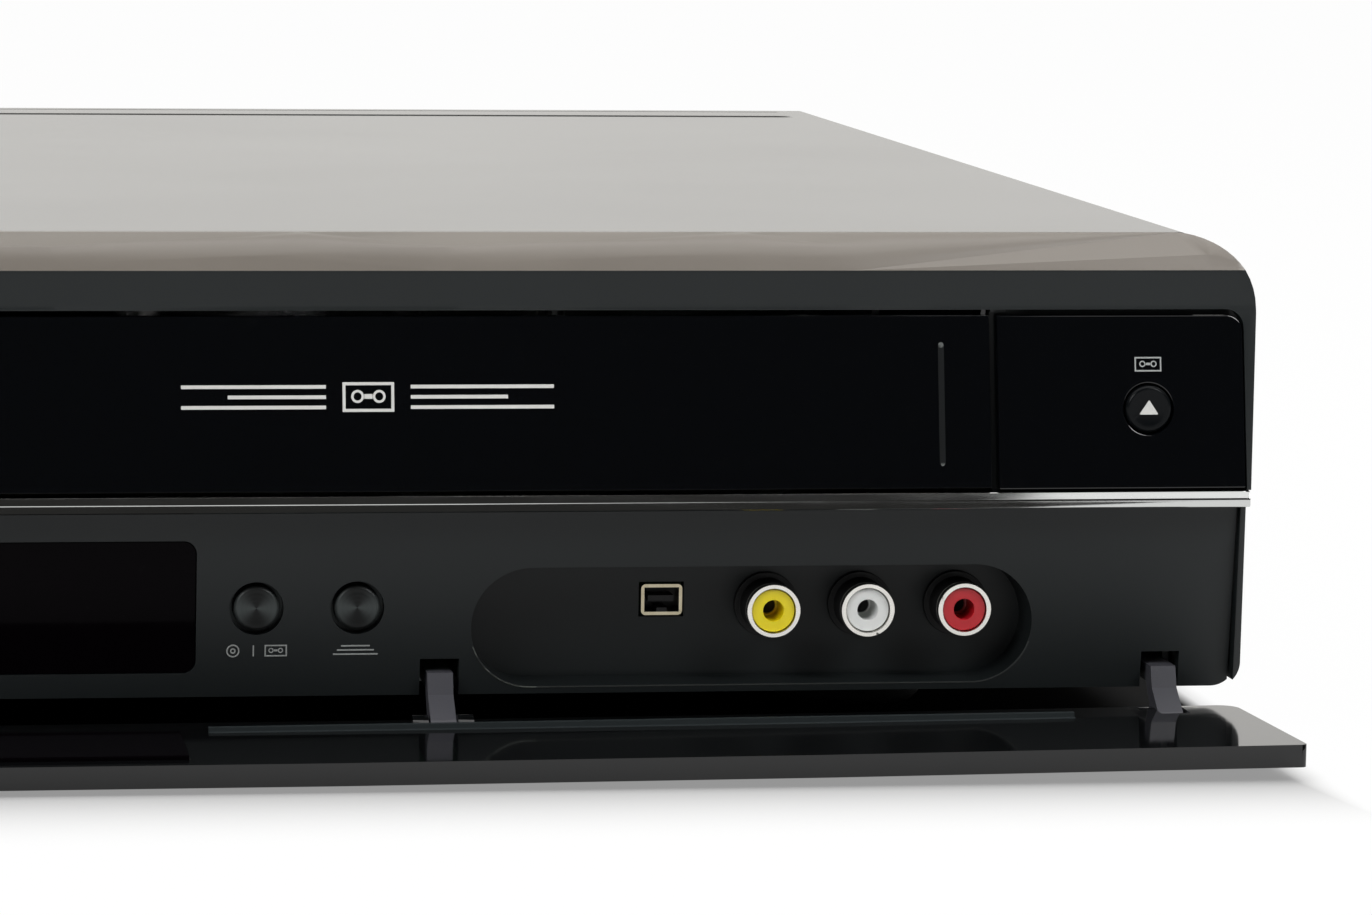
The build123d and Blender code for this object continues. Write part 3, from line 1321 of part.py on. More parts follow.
with BuildPart() as capstan:
    upright(capstan_place, capstan_depth, 13.5, deck_height + 28, capstan_radius)
    with BuildSketch(front_at(capstan_depth)) as wheel:
        with BuildLine():
            Polyline(
                (capstan_place, 14.5), (capstan_place + 20, 14.5), (capstan_place + 20, 20.5),
                (capstan_place + 15.5, 20.5), (capstan_place + 14.5, 17.0), (capstan_place + 6, 17.0),
                (capstan_place + 5, 20.0), (capstan_place, 20.0), close=True,
            )
        make_face()
    revolve(wheel.sketch, axis=Axis((capstan_place, face_y + capstan_depth, 0), (0, 0, 1)))
finish(capstan.part, "capstan")

arm_bottom = deck_height + 1.5
arm_top = arm_bottom + 2.0
with BuildPart() as pinch_arm:
    with BuildSketch(Plane.XY.offset(arm_bottom)) as arm:
        with Locations(((pinch_pivot_place + roller_place) / 2, face_y + (pinch_pivot_depth + roller_depth) / 2)):
            SlotCenterToCenter(pinch_length, 6.4, rotation=pinch_rest)
    extrude(arm.sketch, amount=2.0)
    upright(pinch_pivot_place, pinch_pivot_depth, deck_height + 0.3, deck_height + 8, 4.0)
    upright(pinch_pivot_place, pinch_pivot_depth, deck_height - 1, deck_height + 20,
            pinch_post_radius + pivot_clearance, Mode.SUBTRACT)
    upright(roller_place, roller_depth, arm_top - 0.5, deck_height + 24, 1.5)
    upright(roller_place, roller_depth, arm_top - 0.5, roller_bottom - gap, 3.0)
finish(pinch_arm.part, "pinch_arm")

with BuildPart() as pinch_roller:
    upright(roller_place, roller_depth, roller_bottom, deck_height + 21, pinch_radius)
    upright(roller_place, roller_depth, 0, 80, 1.5 + pivot_clearance, Mode.SUBTRACT)
finish(pinch_roller.part, "pinch_roller")

for name, side in (("supply_reel", -1), ("takeup_reel", 1)):
    with BuildPart() as reel:
        place = flap_centre + side * reel_spacing / 2
        upright(place, reel_depth, deck_height + 0.4, deck_height + 3.0, 17.5)
        upright(place, reel_depth, deck_height + 3.0, deck_height + 7.5, 8.5)
        upright(place, reel_depth, deck_height + 7.0, deck_height + 11.4, 5.2)
        with BuildSketch(Plane(origin=(place, face_y + reel_depth, deck_height + 7.0))) as splines:
            with PolarLocations(5.6, 3):
                Rectangle(3.0, 1.4)
        extrude(splines.sketch, amount=4.4)
        upright(place, reel_depth, 0, deck_height + 10.7, reel_post_radius + pivot_clearance, Mode.SUBTRACT)
    finish(reel.part, name)

bracket_top = 68.0
with BuildPart() as basket_brackets:
    for side in (-1, 1):
        near = flap_centre + side * bracket_near
        with BuildSketch(side_at(near)) as plate:
            with BuildLine():
                Polyline(
                    (face_y + 48, deck_height), (face_y + 174, deck_height), (face_y + 174, 56),
                    (face_y + 162, bracket_top), (face_y + 48, bracket_top), close=True,
                )
            make_face()
            for depth in pin_depths:
                with Locations((face_y + depth - basket_travel / 2, pin_height)):
                    SlotCenterToCenter(basket_travel, pin_slot, mode=Mode.SUBTRACT)
                with Locations((face_y + depth, pin_height - basket_drop / 2)):
                    SlotCenterToCenter(basket_drop, pin_slot, rotation=90, mode=Mode.SUBTRACT)
        extrude(plate.sketch, amount=side * 1.2)
        flange_near = flap_centre + side * bracket_near
        flange_far = flap_centre + side * (bracket_far + 4.0)
        block(min(flange_near, flange_far), max(flange_near, flange_far), 48, 174, deck_height,
              deck_height + 1.2)
finish(basket_brackets.part, "basket_brackets")

with BuildPart() as slide_plates:
    for side in (-1, 1):
        near = flap_centre + side * plate_near
        with BuildSketch(side_at(near)) as plate:
            with Locations((face_y + (pin_depths[0] + pin_depths[1]) / 2, pin_height - basket_drop / 2)):
                RectangleRounded(pin_depths[1] - pin_depths[0] + 14, basket_drop + 12, 3)
            for depth in pin_depths:
                with Locations((face_y + depth, pin_height - basket_drop / 2)):
                    SlotCenterToCenter(basket_drop, pin_slot, rotation=90, mode=Mode.SUBTRACT)
        extrude(plate.sketch, amount=side * 1.2)
finish(slide_plates.part, "slide_plates")

basket_top = basket_bottom + 28.4
basket_back = basket_front + basket_depth
with BuildPart() as cassette_basket:
    for side in (-1, 1):
        outer = flap_centre + side * basket_half
        inner = flap_centre + side * (basket_half - basket_wall)
        shelf = flap_centre + side * (basket_half - 31)
        tip = flap_centre + side * (bracket_far + 0.4)
        block(min(outer, inner), max(outer, inner), basket_front, basket_back, basket_bottom, basket_top)
        block(min(outer, shelf), max(outer, shelf), basket_front, basket_back, basket_bottom, basket_bottom + 1)
        for depth in pin_depths:
            crosswise(min(inner, tip), max(inner, tip), depth, pin_height, basket_pin_radius)
    block(flap_centre - basket_half, flap_centre + basket_half, basket_back - 1.2, basket_back,
          basket_bottom, basket_bottom + 8)
    block(flap_centre - basket_half, flap_centre + basket_half, basket_front + 38, basket_front + 62,
          basket_top - 1, basket_top)
finish(cassette_basket.part, "cassette_basket")
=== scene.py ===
import bpy, bmesh, json, math
from mathutils import Matrix, Vector
from mathutils.bvhtree import BVHTree

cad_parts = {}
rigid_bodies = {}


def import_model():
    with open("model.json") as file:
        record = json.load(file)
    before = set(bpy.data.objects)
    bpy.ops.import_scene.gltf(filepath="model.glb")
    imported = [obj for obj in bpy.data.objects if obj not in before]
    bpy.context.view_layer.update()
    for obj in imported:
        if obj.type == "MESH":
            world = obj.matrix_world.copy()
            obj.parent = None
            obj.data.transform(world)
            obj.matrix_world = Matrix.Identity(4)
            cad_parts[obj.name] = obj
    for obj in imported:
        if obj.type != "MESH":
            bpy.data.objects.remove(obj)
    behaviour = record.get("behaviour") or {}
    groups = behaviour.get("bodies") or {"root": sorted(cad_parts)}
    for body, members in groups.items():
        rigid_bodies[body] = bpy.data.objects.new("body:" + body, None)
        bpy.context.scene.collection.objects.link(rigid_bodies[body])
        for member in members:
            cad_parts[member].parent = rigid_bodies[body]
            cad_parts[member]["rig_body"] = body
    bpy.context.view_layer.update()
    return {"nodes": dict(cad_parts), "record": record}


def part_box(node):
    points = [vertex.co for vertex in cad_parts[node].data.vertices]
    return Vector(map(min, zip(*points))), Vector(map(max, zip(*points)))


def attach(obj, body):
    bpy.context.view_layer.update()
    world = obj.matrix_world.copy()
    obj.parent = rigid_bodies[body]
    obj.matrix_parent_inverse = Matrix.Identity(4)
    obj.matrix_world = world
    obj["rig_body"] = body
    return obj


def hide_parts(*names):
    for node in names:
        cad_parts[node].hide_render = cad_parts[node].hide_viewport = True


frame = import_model()
nodes = frame["nodes"]
scene = bpy.context.scene
mm = 0.001
print("frame loaded:", len(nodes), "nodes")

# camera
shot = {
    "place": (0.00307, -0.9144, 0.13994),
    "turnRight": 6.876,
    "lookDown": 6.344,
    "roll": 0.613,
    "lens": 133.86,
    "shift": (0.15, -0.05),
}
camera = bpy.data.objects.new("camera", bpy.data.cameras.new("camera"))
scene.collection.objects.link(camera)
camera.data.lens = shot["lens"]
camera.data.sensor_width = 36.0
camera.data.shift_x, camera.data.shift_y = shot["shift"]
camera.data.clip_start, camera.data.clip_end = 0.02, 50.0
turn = Matrix.Rotation(math.radians(-shot["turnRight"]), 4, "Z")
tilt = Matrix.Rotation(math.radians(90 - shot["lookDown"]), 4, "X")
roll = Matrix.Rotation(math.radians(shot["roll"]), 4, "Z")
camera.matrix_world = Matrix.Translation(shot["place"]) @ turn @ tilt @ roll
scene.camera = camera
scene.view_settings.view_transform = "Standard"


# shader maths
class Wire:
    # a shader socket that can be added, multiplied and compared like a number
    def __init__(self, tree, socket):
        self.tree, self.socket = tree, socket

    def math(self, operation, *others, clamp=False):
        step = self.tree.nodes.new("ShaderNodeMath")
        step.operation, step.use_clamp = operation, clamp
        for slot, value in zip(step.inputs, (self,) + others):
            plug(self.tree, value, slot)
        return Wire(self.tree, step.outputs[0])

    def __add__(self, other): return self.math("ADD", other)
    def __radd__(self, other): return self.math("ADD", other)
    def __sub__(self, other): return self.math("SUBTRACT", other)
    def __rsub__(self, other): return Wire.between(self.tree, "SUBTRACT", other, self)
    def __mul__(self, other): return self.math("MULTIPLY", other)
    def __rmul__(self, other): return self.math("MULTIPLY", other)
    def __truediv__(self, other): return self.math("DIVIDE", other)
    def __pow__(self, other): return self.math("POWER", other)
    def __lt__(self, other): return self.math("LESS_THAN", other)
    def __gt__(self, other): return self.math("GREATER_THAN", other)

    @staticmethod
    def between(tree, operation, first, second):
        step = tree.nodes.new("ShaderNodeMath")
        step.operation = operation
        plug(tree, first, step.inputs[0])
        plug(tree, second, step.inputs[1])
        return Wire(tree, step.outputs[0])


def plug(tree, value, slot):
    if isinstance(value, Wire):
        tree.links.new(value.socket, slot)
    else:
        slot.default_value = value


class Shader:
    def __init__(self, name, world=False):
        self.data = bpy.data.worlds.new(name) if world else bpy.data.materials.new(name)
        self.data.use_nodes = True
        self.tree = self.data.node_tree
        self.tree.nodes.clear()

    def node(self, kind, settings=None, output=0, **values):
        # any node: its settings first, then its sockets by name, with _ for a space
        made = self.tree.nodes.new("ShaderNode" + kind)
        for key, value in (settings or {}).items():
            setattr(made, key, value)
        for key, value in values.items():
            plug(self.tree, value, made.inputs[key.replace("_", " ")])
        return Wire(self.tree, made.outputs[output]) if made.outputs else None

    def place(self, scale=(1, 1, 1), centre=(0, 0, 0)):
        spot = self.node("TexCoord", output="Object")
        shift = tuple(-s * c for s, c in zip(scale, centre))
        return self.node("Mapping", Vector=spot, Scale=scale, Location=shift)

    def noise(self, scale, detail=2.0, stretch=(1, 1, 1), roughness=0.5):
        return self.node("TexNoise", output="Fac", Vector=self.place(stretch), Scale=scale,
                         Detail=detail, Roughness=roughness)

    def blend(self, factor, first, second):
        step = self.tree.nodes.new("ShaderNodeMix")
        step.data_type = "RGBA"
        plug(self.tree, factor, step.inputs["Factor"])
        plug(self.tree, first, step.inputs[6])
        plug(self.tree, second, step.inputs[7])
        return Wire(self.tree, step.outputs[2])

    def bump(self, height, depth, strength=1.0):
        return self.node("Bump", Height=height, Distance=depth, Strength=strength)

    def surface(self, **values):
        skin = self.node("BsdfPrincipled", **values)
        self.node("OutputMaterial", Surface=skin)
        return self.data


def ink(red, green, blue, alpha=1.0):
    # a colour as it is read off a screen, turned into light values
    def light(value):
        value = value / 255
        return value / 12.92 if value <= 0.04045 else ((value + 0.055) / 1.055) ** 2.4
    return (light(red), light(green), light(blue), alpha)


def shade(colour, factor):
    return tuple(min(1.0, value * factor) for value in colour[:3]) + (1.0,)


def moulded(name, colour, roughness=0.4, spread=0.12, grain=1400.0, depth=0.00002, cloud=40.0,
            zones=(), sheen=0.5):
    # moulded plastic or paint: fine grain, soft clouding and slightly uneven gloss
    s = Shader(name)
    fine = s.noise(grain, 3.0)
    broad = s.noise(cloud, 3.0)
    for zone in zones:
        mask = zone["mask"](s)
        colour = s.blend(mask, colour, zone["colour"])
        roughness = roughness + mask * (zone["roughness"] - roughness)
    tint = s.node("HueSaturation", Color=colour, Value=0.88 + broad * 0.24)
    rough = roughness + (broad - 0.5) * spread + (fine - 0.5) * spread
    return s.surface(Base_Color=tint, Roughness=rough, Normal=s.bump(fine, depth), Specular_IOR_Level=sheen)


def within(axis, low, high, blur=0.0001, mirrored=False):
    # 1 between two places along an axis of the object, 0 outside them
    def mask(s):
        level = s.node("SeparateXYZ", output=axis, Vector=s.place())
        if mirrored:
            level = level.math("ABSOLUTE")
        rise = ((level - low) / blur + 0.5).math("MULTIPLY", 1.0, clamp=True)
        fall = ((high - level) / blur + 0.5).math("MULTIPLY", 1.0, clamp=True)
        return rise * fall
    return mask


def both(first, second):
    return lambda s: first(s) * second(s)


def roundHole(x, z, radius, blur=0.0002):
    # 1 inside a round place seen from the front
    def mask(s):
        spot = s.place(centre=(x, 0.0, z))
        across = s.node("SeparateXYZ", output="X", Vector=spot)
        up = s.node("SeparateXYZ", output="Z", Vector=spot)
        reach = (across * across + up * up) ** 0.5
        return ((radius - reach) / blur + 0.5).math("MULTIPLY", 1.0, clamp=True)
    return mask


def piano(name, colour, roughness=0.045, zones=(), sheen=0.5):
    # polished black plastic with faint wiping marks and hardly any dust
    s = Shader(name)
    dust = s.noise(700.0, 2.0) ** 14.0
    wipes = s.noise(60.0, 4.0, stretch=(1.0, 1.0, 9.0))
    rough = roughness + wipes * 0.05 + dust * 0.2
    for zone in zones:
        mask = zone["mask"](s)
        colour = s.blend(mask, colour, zone["colour"])
        rough = rough + mask * zone["roughness"]
    tint = s.blend(dust, colour, ink(70, 70, 70))
    return s.surface(Base_Color=tint, Roughness=rough, Normal=s.bump(wipes, 0.000002, 0.3),
                     Specular_IOR_Level=sheen)


def metal(name, colour, roughness=0.25, brush=(1, 1, 1), scale=600.0, depth=0.00001, spangle=0.0):
    s = Shader(name)
    streaks = s.noise(scale, 3.0, stretch=brush)
    tone = s.noise(25.0, 2.0)
    if spangle:
        flakes = s.node("TexVoronoi", output="Color", Vector=s.place(), Scale=spangle)
        tone = tone * 0.4 + s.node("SeparateColor", output=0, Color=flakes) * 0.6
    tint = s.blend(tone, shade(colour, 0.82), shade(colour, 1.12))
    rough = roughness + (streaks - 0.5) * 0.16 + tone * 0.05
    return s.surface(Base_Color=tint, Metallic=1.0, Roughness=rough, Normal=s.bump(streaks, depth))


def turned(name, centre, colour=(0.02, 0.023, 0.023, 1.0)):
    # a spin-turned cap: fine rings about its middle set its bump and gloss; the soft wedges those rings
    # would spread the light into are painted into its colour, as painted highlight on the sides and painted
    # shade at top and bottom
    s = Shader(name)
    spot = s.place(centre=centre)
    across = s.node("SeparateXYZ", output="X", Vector=spot)
    up = s.node("SeparateXYZ", output="Z", Vector=spot)
    reach = (across * across + up * up) ** 0.5
    rings = (reach * 9000.0).math("SINE") * 0.5 + 0.5
    wear = s.noise(500.0, 3.0)
    angle = up.math("ARCTAN2", across)
    # painted highlight and painted shade: lit and shaded copies of the cap's colour, lighter at the sides
    # and darker at top and bottom
    wedgeHighlight = ((angle * 2.0).math("COSINE") * 0.5 + 0.5) ** 1.6
    tint = s.blend(wedgeHighlight, shade(colour, 0.3), shade(colour, 2.6))
    return s.surface(Base_Color=tint, Metallic=0.55, Roughness=0.32 + rings * 0.1 + wear * 0.1,
                     Normal=s.bump(rings, 0.000008, 0.5))


def shielded(name, middle, half):
    # plated shell of a small socket, dark plastic inside it
    s = Shader(name)
    spot = s.place(centre=middle)
    across = s.node("SeparateXYZ", output="X", Vector=spot).math("ABSOLUTE")
    up = s.node("SeparateXYZ", output="Z", Vector=spot).math("ABSOLUTE")
    inside = (across < half[0]) * (up < half[1])
    plate = s.blend(s.noise(900.0, 3.0), ink(160, 150, 124), ink(190, 182, 160))
    tint = s.blend(inside, plate, ink(14, 14, 15))
    return s.surface(Base_Color=tint, Metallic=1.0 - inside, Roughness=0.2 + inside * 0.3)


def plated(name, mouth):
    # a plated ring at the mouth; the barrel behind it is painted near black, as painted shade of the recess
    # it sits in
    s = Shader(name)
    depth = s.node("SeparateXYZ", output="Y", Vector=s.place())
    behind = ((depth - mouth) / 0.0004 + 0.5).math("MULTIPLY", 1.0, clamp=True)
    wear = s.noise(800.0, 3.0)
    plate = s.blend(wear, ink(214, 212, 206), ink(236, 234, 228))
    tint = s.blend(behind, plate, ink(15, 15, 16))
    return s.surface(Base_Color=tint, Metallic=1.0 - behind, Roughness=0.16 + wear * 0.08 + behind * 0.4)


def circuit(name, colour):
    # solder resist with copper tracks showing through it
    s = Shader(name)
    grid = s.noise(240.0, 1.0)
    tracks = (grid * 14.0).math("FRACT") < 0.32
    tint = s.blend(tracks, colour, shade(colour, 1.7))
    return s.surface(Base_Color=tint, Roughness=0.3 + tracks * 0.08, Normal=s.bump(tracks, 0.00003, 0.5))


white = (1.0, 1.0, 1.0, 1.0)
# the bezel's curved top strip gets a lighter brown-grey: a painted reflection of the bright backdrop that
# the strip catches at a grazing angle
paintedStripSheen = {"mask": within("Z", 0.0727, 1.0), "colour": ink(117, 111, 104), "roughness": 0.3}
coverSeam = {"mask": both(within("Y", 0.1572, 0.1622, 0.0008),
                          within("X", -1.0, 0.1975, 0.003, mirrored=True)),
             "colour": ink(3, 3, 3), "roughness": 1.0}
# a lighter line on the door's inner face along its rib: a painted highlight of the light the rib's edge
# catches
ribHighlight = {"mask": both(within("Y", -0.1650, -0.1626), within("X", 0.0533, 0.1853, mirrored=True)),
           "colour": ink(34, 41, 43), "roughness": 0.45}
# the holes in the jack inserts are painted near black: painted shade of their depth
jackHoleShade = {
    node: [{"mask": roundHole(x, 0.0201, 0.00128), "colour": ink(4, 4, 4), "roughness": 0.8}]
    for node, x in (("yellow", 0.1408), ("white", 0.1555), ("red", 0.1706))
}
finishes = {
    "painted_steel": moulded("paintedCover", ink(40, 39, 38), 0.19, 0.03, 1700.0, 0.000001, 12.0,
                             [coverSeam]),
    "zinc_steel": metal("zincPlate", (0.50, 0.51, 0.50, 1.0), 0.36, spangle=160.0),
    "foot_rubber": moulded("footRubber", ink(26, 26, 27), 0.8, 0.1, 900.0, 0.00003),
    "black_screw": metal("blackScrew", (0.05, 0.05, 0.052, 1.0), 0.35),
    "matt_black": moulded("bezelPlastic", ink(24, 28, 29), 0.4, 0.06, 2600.0, 0.000005, 30.0,
                          [paintedStripSheen], 0.36),
    "gloss_black": piano("pianoBlack", ink(4, 5, 7)),
    "chrome": metal("chromeTrim", (0.62, 0.63, 0.62, 1.0), 0.05, brush=(0.1, 1, 1), depth=0.000001),
    "dark_grey": moulded("panelPlastic", ink(25, 29, 30), 0.4, 0.06, 2800.0, 0.000005, 24.0, (), 0.32),
    "smoked_glass": piano("smokedWindow", ink(5, 3, 5), 0.03, (), 0.03),
    "display_glass": piano("displayGlass", ink(24, 30, 30), 0.06),
    "hinge_grey": moulded("hingePlastic", ink(68, 68, 74), 0.42, 0.08, 2000.0, 0.000008),
    "spring_steel": metal("groundSteel", (0.55, 0.55, 0.56, 1.0), 0.2),
    "nickel": metal("nickelPlate", (0.80, 0.77, 0.72, 1.0), 0.14, depth=0.000003),
    "yellow_plastic": moulded("yellowInsert", ink(250, 228, 10), 0.3, 0.05, 1200.0, 0.000004, 40.0,
                          jackHoleShade["yellow"]),
    "white_plastic": moulded("whiteInsert", ink(240, 242, 240), 0.3, 0.05, 1200.0, 0.000004, 40.0,
                          jackHoleShade["white"]),
    "red_plastic": moulded("redInsert", ink(196, 28, 40), 0.3, 0.05, 1200.0, 0.000004, 40.0,
                          jackHoleShade["red"]),
    "circuit_board": circuit("circuitBoard", (0.02, 0.11, 0.04, 1.0)),
    "inlet_black": moulded("inletPlastic", ink(28, 28, 29), 0.5, 0.1, 1500.0, 0.00002),
    "loader_black": moulded("loaderPlastic", ink(32, 32, 34), 0.5, 0.1, 1300.0, 0.00002),
    "white_nylon": moulded("whiteNylon", ink(214, 213, 205), 0.45, 0.08, 900.0, 0.00001),
    "pickup_grey": metal("pickupCasting", (0.3, 0.3, 0.32, 1.0), 0.4, scale=900.0),
    "cast_drum": metal("drumAluminium", (0.66, 0.66, 0.67, 1.0), 0.22, brush=(1, 1, 18)),
    "roller_rubber": moulded("rollerRubber", ink(22, 22, 23), 0.65, 0.08, 700.0, 0.00001),
}
socketShell = shielded("socketShell", (0.1245, 0.0, 0.0209), (0.0027, 0.0019))
jackPlating = plated("jackPlating", -0.1502)
doorSkin = piano("doorSkin", ink(10, 11, 12), 0.05, [ribHighlight])
keyCap = piano("keyCap", ink(11, 13, 15), 0.16, (), 0.1)
slotOf = {part["node"]: part["material_slot"] for part in frame["record"]["subparts"]}
print("finishes made:", len(finishes))


# pieces
def settle(name, mesh, material, body, replaced=()):
    piece = bpy.data.objects.new(name, mesh)
    scene.collection.objects.link(piece)
    for finish in (material if isinstance(material, (list, tuple)) else [material]):
        mesh.materials.append(finish)
    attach(piece, body)
    if replaced:
        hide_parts(*replaced)
    return piece


def weighted(piece):
    piece.modifiers.new("evenNormals", "WEIGHTED_NORMAL").keep_sharp = True


def refine(node, width, angle=28.0, material=None, segments=2, shape=None):
    # the node's own solid with its sharp edges eased and its curves shaded smooth
    mesh = bmesh.new()
    mesh.from_mesh(nodes[node].data)
    bmesh.ops.remove_doubles(mesh, verts=mesh.verts, dist=0.000002)
    bmesh.ops.dissolve_degenerate(mesh, edges=mesh.edges, dist=0.000001)
    bmesh.ops.dissolve_limit(mesh, angle_limit=math.radians(0.04), verts=mesh.verts, edges=mesh.edges)
    if shape:
        shape(mesh)
    if width:
        sharp = [e for e in mesh.edges
                 if len(e.link_faces) == 2 and e.calc_face_angle(0.0) > math.radians(angle)]
        bmesh.ops.bevel(mesh, geom=sharp, offset=width * mm, offset_type="OFFSET", segments=segments,
                        profile=0.5, affect="EDGES", clamp_overlap=True, material=-1)
    for face in mesh.faces:
        face.smooth = True
    for edge in mesh.edges:
        if len(edge.link_faces) == 2 and edge.calc_face_angle(0.0) > math.radians(34.0):
            edge.smooth = False
    data = bpy.data.meshes.new(node + "_eased")
    mesh.to_mesh(data)
    mesh.free()
    piece = settle(node + "_eased", data, material or finishes[slotOf[node]], nodes[node]["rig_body"],
                   [node])
    if node not in curvedPieces:
        weighted(piece)
    return piece


curvedPieces = ["front_bezel"]   # their shading runs on over their curves


turnedCaps = ["source_button", "scan_button", "play_button", "stop_button", "record_button"]
easedPieces = {
    "top_cover": 0.5, "front_bezel": 0.25, "vcr_fascia": 0.35, "tray_fascia": 0.35, "tray_front": 0.35,
    "vcr_flap": 0.25, "chrome_strip": 0.2, "control_panel": 0.2, "display_window": 0.2, "drop_door": 0.3,
    "door_lens": 0.2, "hinge_lugs": 0.2, "eject_button": 0.12, "power_button": 0.12,
    "open_close_button": 0.12, "jack_shells": 0.12, "yellow_jack_insert": 0.12,
    "white_jack_insert": 0.12, "red_jack_insert": 0.12, "dv_socket": 0.08, "feet": 0.4,
    "cover_screws": 0.1, "rear_panel": 0.1, "base_chassis": 0.1, "ac_inlet": 0.25, "rear_jack_block": 0.15,
    "antenna_block": 0.15, "disc_tray": 0.2, "fan_frame": 0.2, "fan_impeller": 0.1,
}


def squareTrim(mesh):
    # the trim's lower half stands upright, so that it catches the light from in front
    low = min(v.co.z for v in mesh.verts)
    for vert in mesh.verts:
        bow = vert.co.x ** 2 * trim["bow"]
        if vert.co.z < low + trim["edge"] * mm and vert.co.y < trim["front"] * mm + bow:
            vert.co.y -= trim["step"] * mm


def sliceAcross(mesh):
    # sets the cheeks back where the closed door's ends pass, then cuts the long faces
    # across, so that the rounded corners shade evenly
    for vert in mesh.verts:
        x, y, z = vert.co / mm
        if abs(x) > cheek["from"] and cheek["low"] < z < cheek["high"] and y < cheek["front"]:
            vert.co.y += cheek["back"] * mm
    for place in slices["places"]:
        for side in (-1, 1):
            geometry = mesh.verts[:] + mesh.edges[:] + mesh.faces[:]
            bmesh.ops.bisect_plane(mesh, geom=geometry, dist=0.000001,
                                   plane_co=(side * place * mm, 0, 0), plane_no=(1, 0, 0),
                                   clear_inner=False, clear_outer=False)
    for level in slices["levels"]:
        geometry = mesh.verts[:] + mesh.edges[:] + mesh.faces[:]
        bmesh.ops.bisect_plane(mesh, geom=geometry, dist=0.000001, plane_co=(0, 0, level * mm),
                               plane_no=(0, 0, 1), clear_inner=False, clear_outer=False)


cheek = {"from": 212.5, "low": 35.9, "high": 36.6, "front": -155.5, "back": 0.45}
slices = {
    "levels": [67.5, 72.1],
    "places": [30, 60, 90, 120, 145, 165, 180, 190, 196, 200, 203, 206, 208, 210, 212],
}
trim = {"edge": 0.1, "front": -158.6, "bow": 0.0346, "step": 0.85}
shaping = {"chrome_strip": squareTrim, "front_bezel": sliceAcross}
special = {"dv_socket": socketShell, "jack_shells": jackPlating, "drop_door": doorSkin,
           "eject_button": keyCap, "power_button": keyCap, "open_close_button": keyCap}
madeEased = {}
for node, width in easedPieces.items():
    madeEased[node] = refine(node, width, material=special.get(node), shape=shaping.get(node))
for node in turnedCaps:
    low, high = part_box(node)
    middle = (low + high) / 2
    cap = turned(node + "Metal", tuple(middle))
    finishes[node] = cap
    madeEased[node] = refine(node, 0.15, material=cap)
for node, thing in nodes.items():
    if node not in madeEased:
        thing.data.materials.clear()
        thing.data.materials.append(finishes[slotOf[node]])
print("eased pieces:", len(madeEased))


# printed signs, and strokes of painted highlight round the jack recess and at the ends of the flap's line
def facesOf(node):
    data = nodes[node].data
    return BVHTree.FromPolygons([v.co for v in data.vertices], [tuple(p.vertices) for p in data.polygons])


def bar(mesh, x0, z0, x1, z1):
    # a flat stroke between two corners, seen from the front
    spot = Matrix.Translation(((x0 + x1) / 2, 0, (z0 + z1) / 2))
    spot = spot @ Matrix.Diagonal((x1 - x0, 1, z1 - z0, 1)) @ Matrix.Rotation(math.pi / 2, 4, "X")
    bmesh.ops.create_grid(mesh, x_segments=1, y_segments=1, size=0.5, matrix=spot)


def disc(mesh, x, z, radius, sides=28, turn=0.0):
    spot = Matrix.Translation((x, 0, z)) @ Matrix.Rotation(math.pi / 2, 4, "X")
    spot = spot @ Matrix.Rotation(turn, 4, "Z")
    return bmesh.ops.create_circle(mesh, cap_ends=True, segments=sides, radius=radius, matrix=spot)


def ring(mesh, x, z, radius, stroke, sides=28):
    spot = Matrix.Translation((x, 0, z)) @ Matrix.Rotation(math.pi / 2, 4, "X")
    edges = set()
    for reach in (radius, radius - stroke):
        made = bmesh.ops.create_circle(mesh, cap_ends=False, segments=sides, radius=reach, matrix=spot)
        edges |= {e for v in made["verts"] for e in v.link_edges}
    bmesh.ops.bridge_loops(mesh, edges=list(edges))


def arrow(mesh, x, z, radius, turn=0.0, squash=1.0):
    # a triangle with soft corners, pointing up unless it is turned
    made = disc(mesh, x, z, radius, 3, turn)
    middle = Vector((x, 0, z))
    for vert in made["verts"]:
        vert.co.z = middle.z + (vert.co.z - middle.z) * squash
    bmesh.ops.bevel(mesh, geom=made["verts"], offset=radius * 0.12, offset_type="OFFSET", segments=3,
                    profile=0.5, affect="VERTICES", clamp_overlap=True, material=-1)


def outline(mesh, x0, z0, x1, z1, stroke):
    bar(mesh, x0, z0, x1, z0 + stroke)
    bar(mesh, x0, z1 - stroke, x1, z1)
    bar(mesh, x0, z0 + stroke, x0 + stroke, z1 - stroke)
    bar(mesh, x1 - stroke, z0 + stroke, x1, z1 - stroke)


def cassette(mesh, x0, z0, x1, z1, stroke):
    # a tape cassette seen from above: its edge, two reels and the window between them
    tall = z1 - z0
    outline(mesh, x0, z0, x1, z1, stroke)
    for share in (0.29, 0.71):
        ring(mesh, x0 + (x1 - x0) * share, z0 + tall * 0.52, tall * 0.22, stroke * 0.8)
    bar(mesh, x0 + (x1 - x0) * 0.42, z0 + tall * 0.44, x0 + (x1 - x0) * 0.58, z0 + tall * 0.60)


signs = {
    "raise": 0.03,
    "depth": 0.05,
    "flapSign": (49.4, 51.9, 105.7, 55.9),
    "discSign": (54.2, 14.0, 67.4, 15.9),
    "scanSign": (70.8, 14.0, 81.6, 15.9),
    "ejectSign": (194.4, 57.3, 201.0, 59.5),
    "flapMark": (164.9, 43.5, 165.8, 61.4),
    "signDrop": 6.4,
}


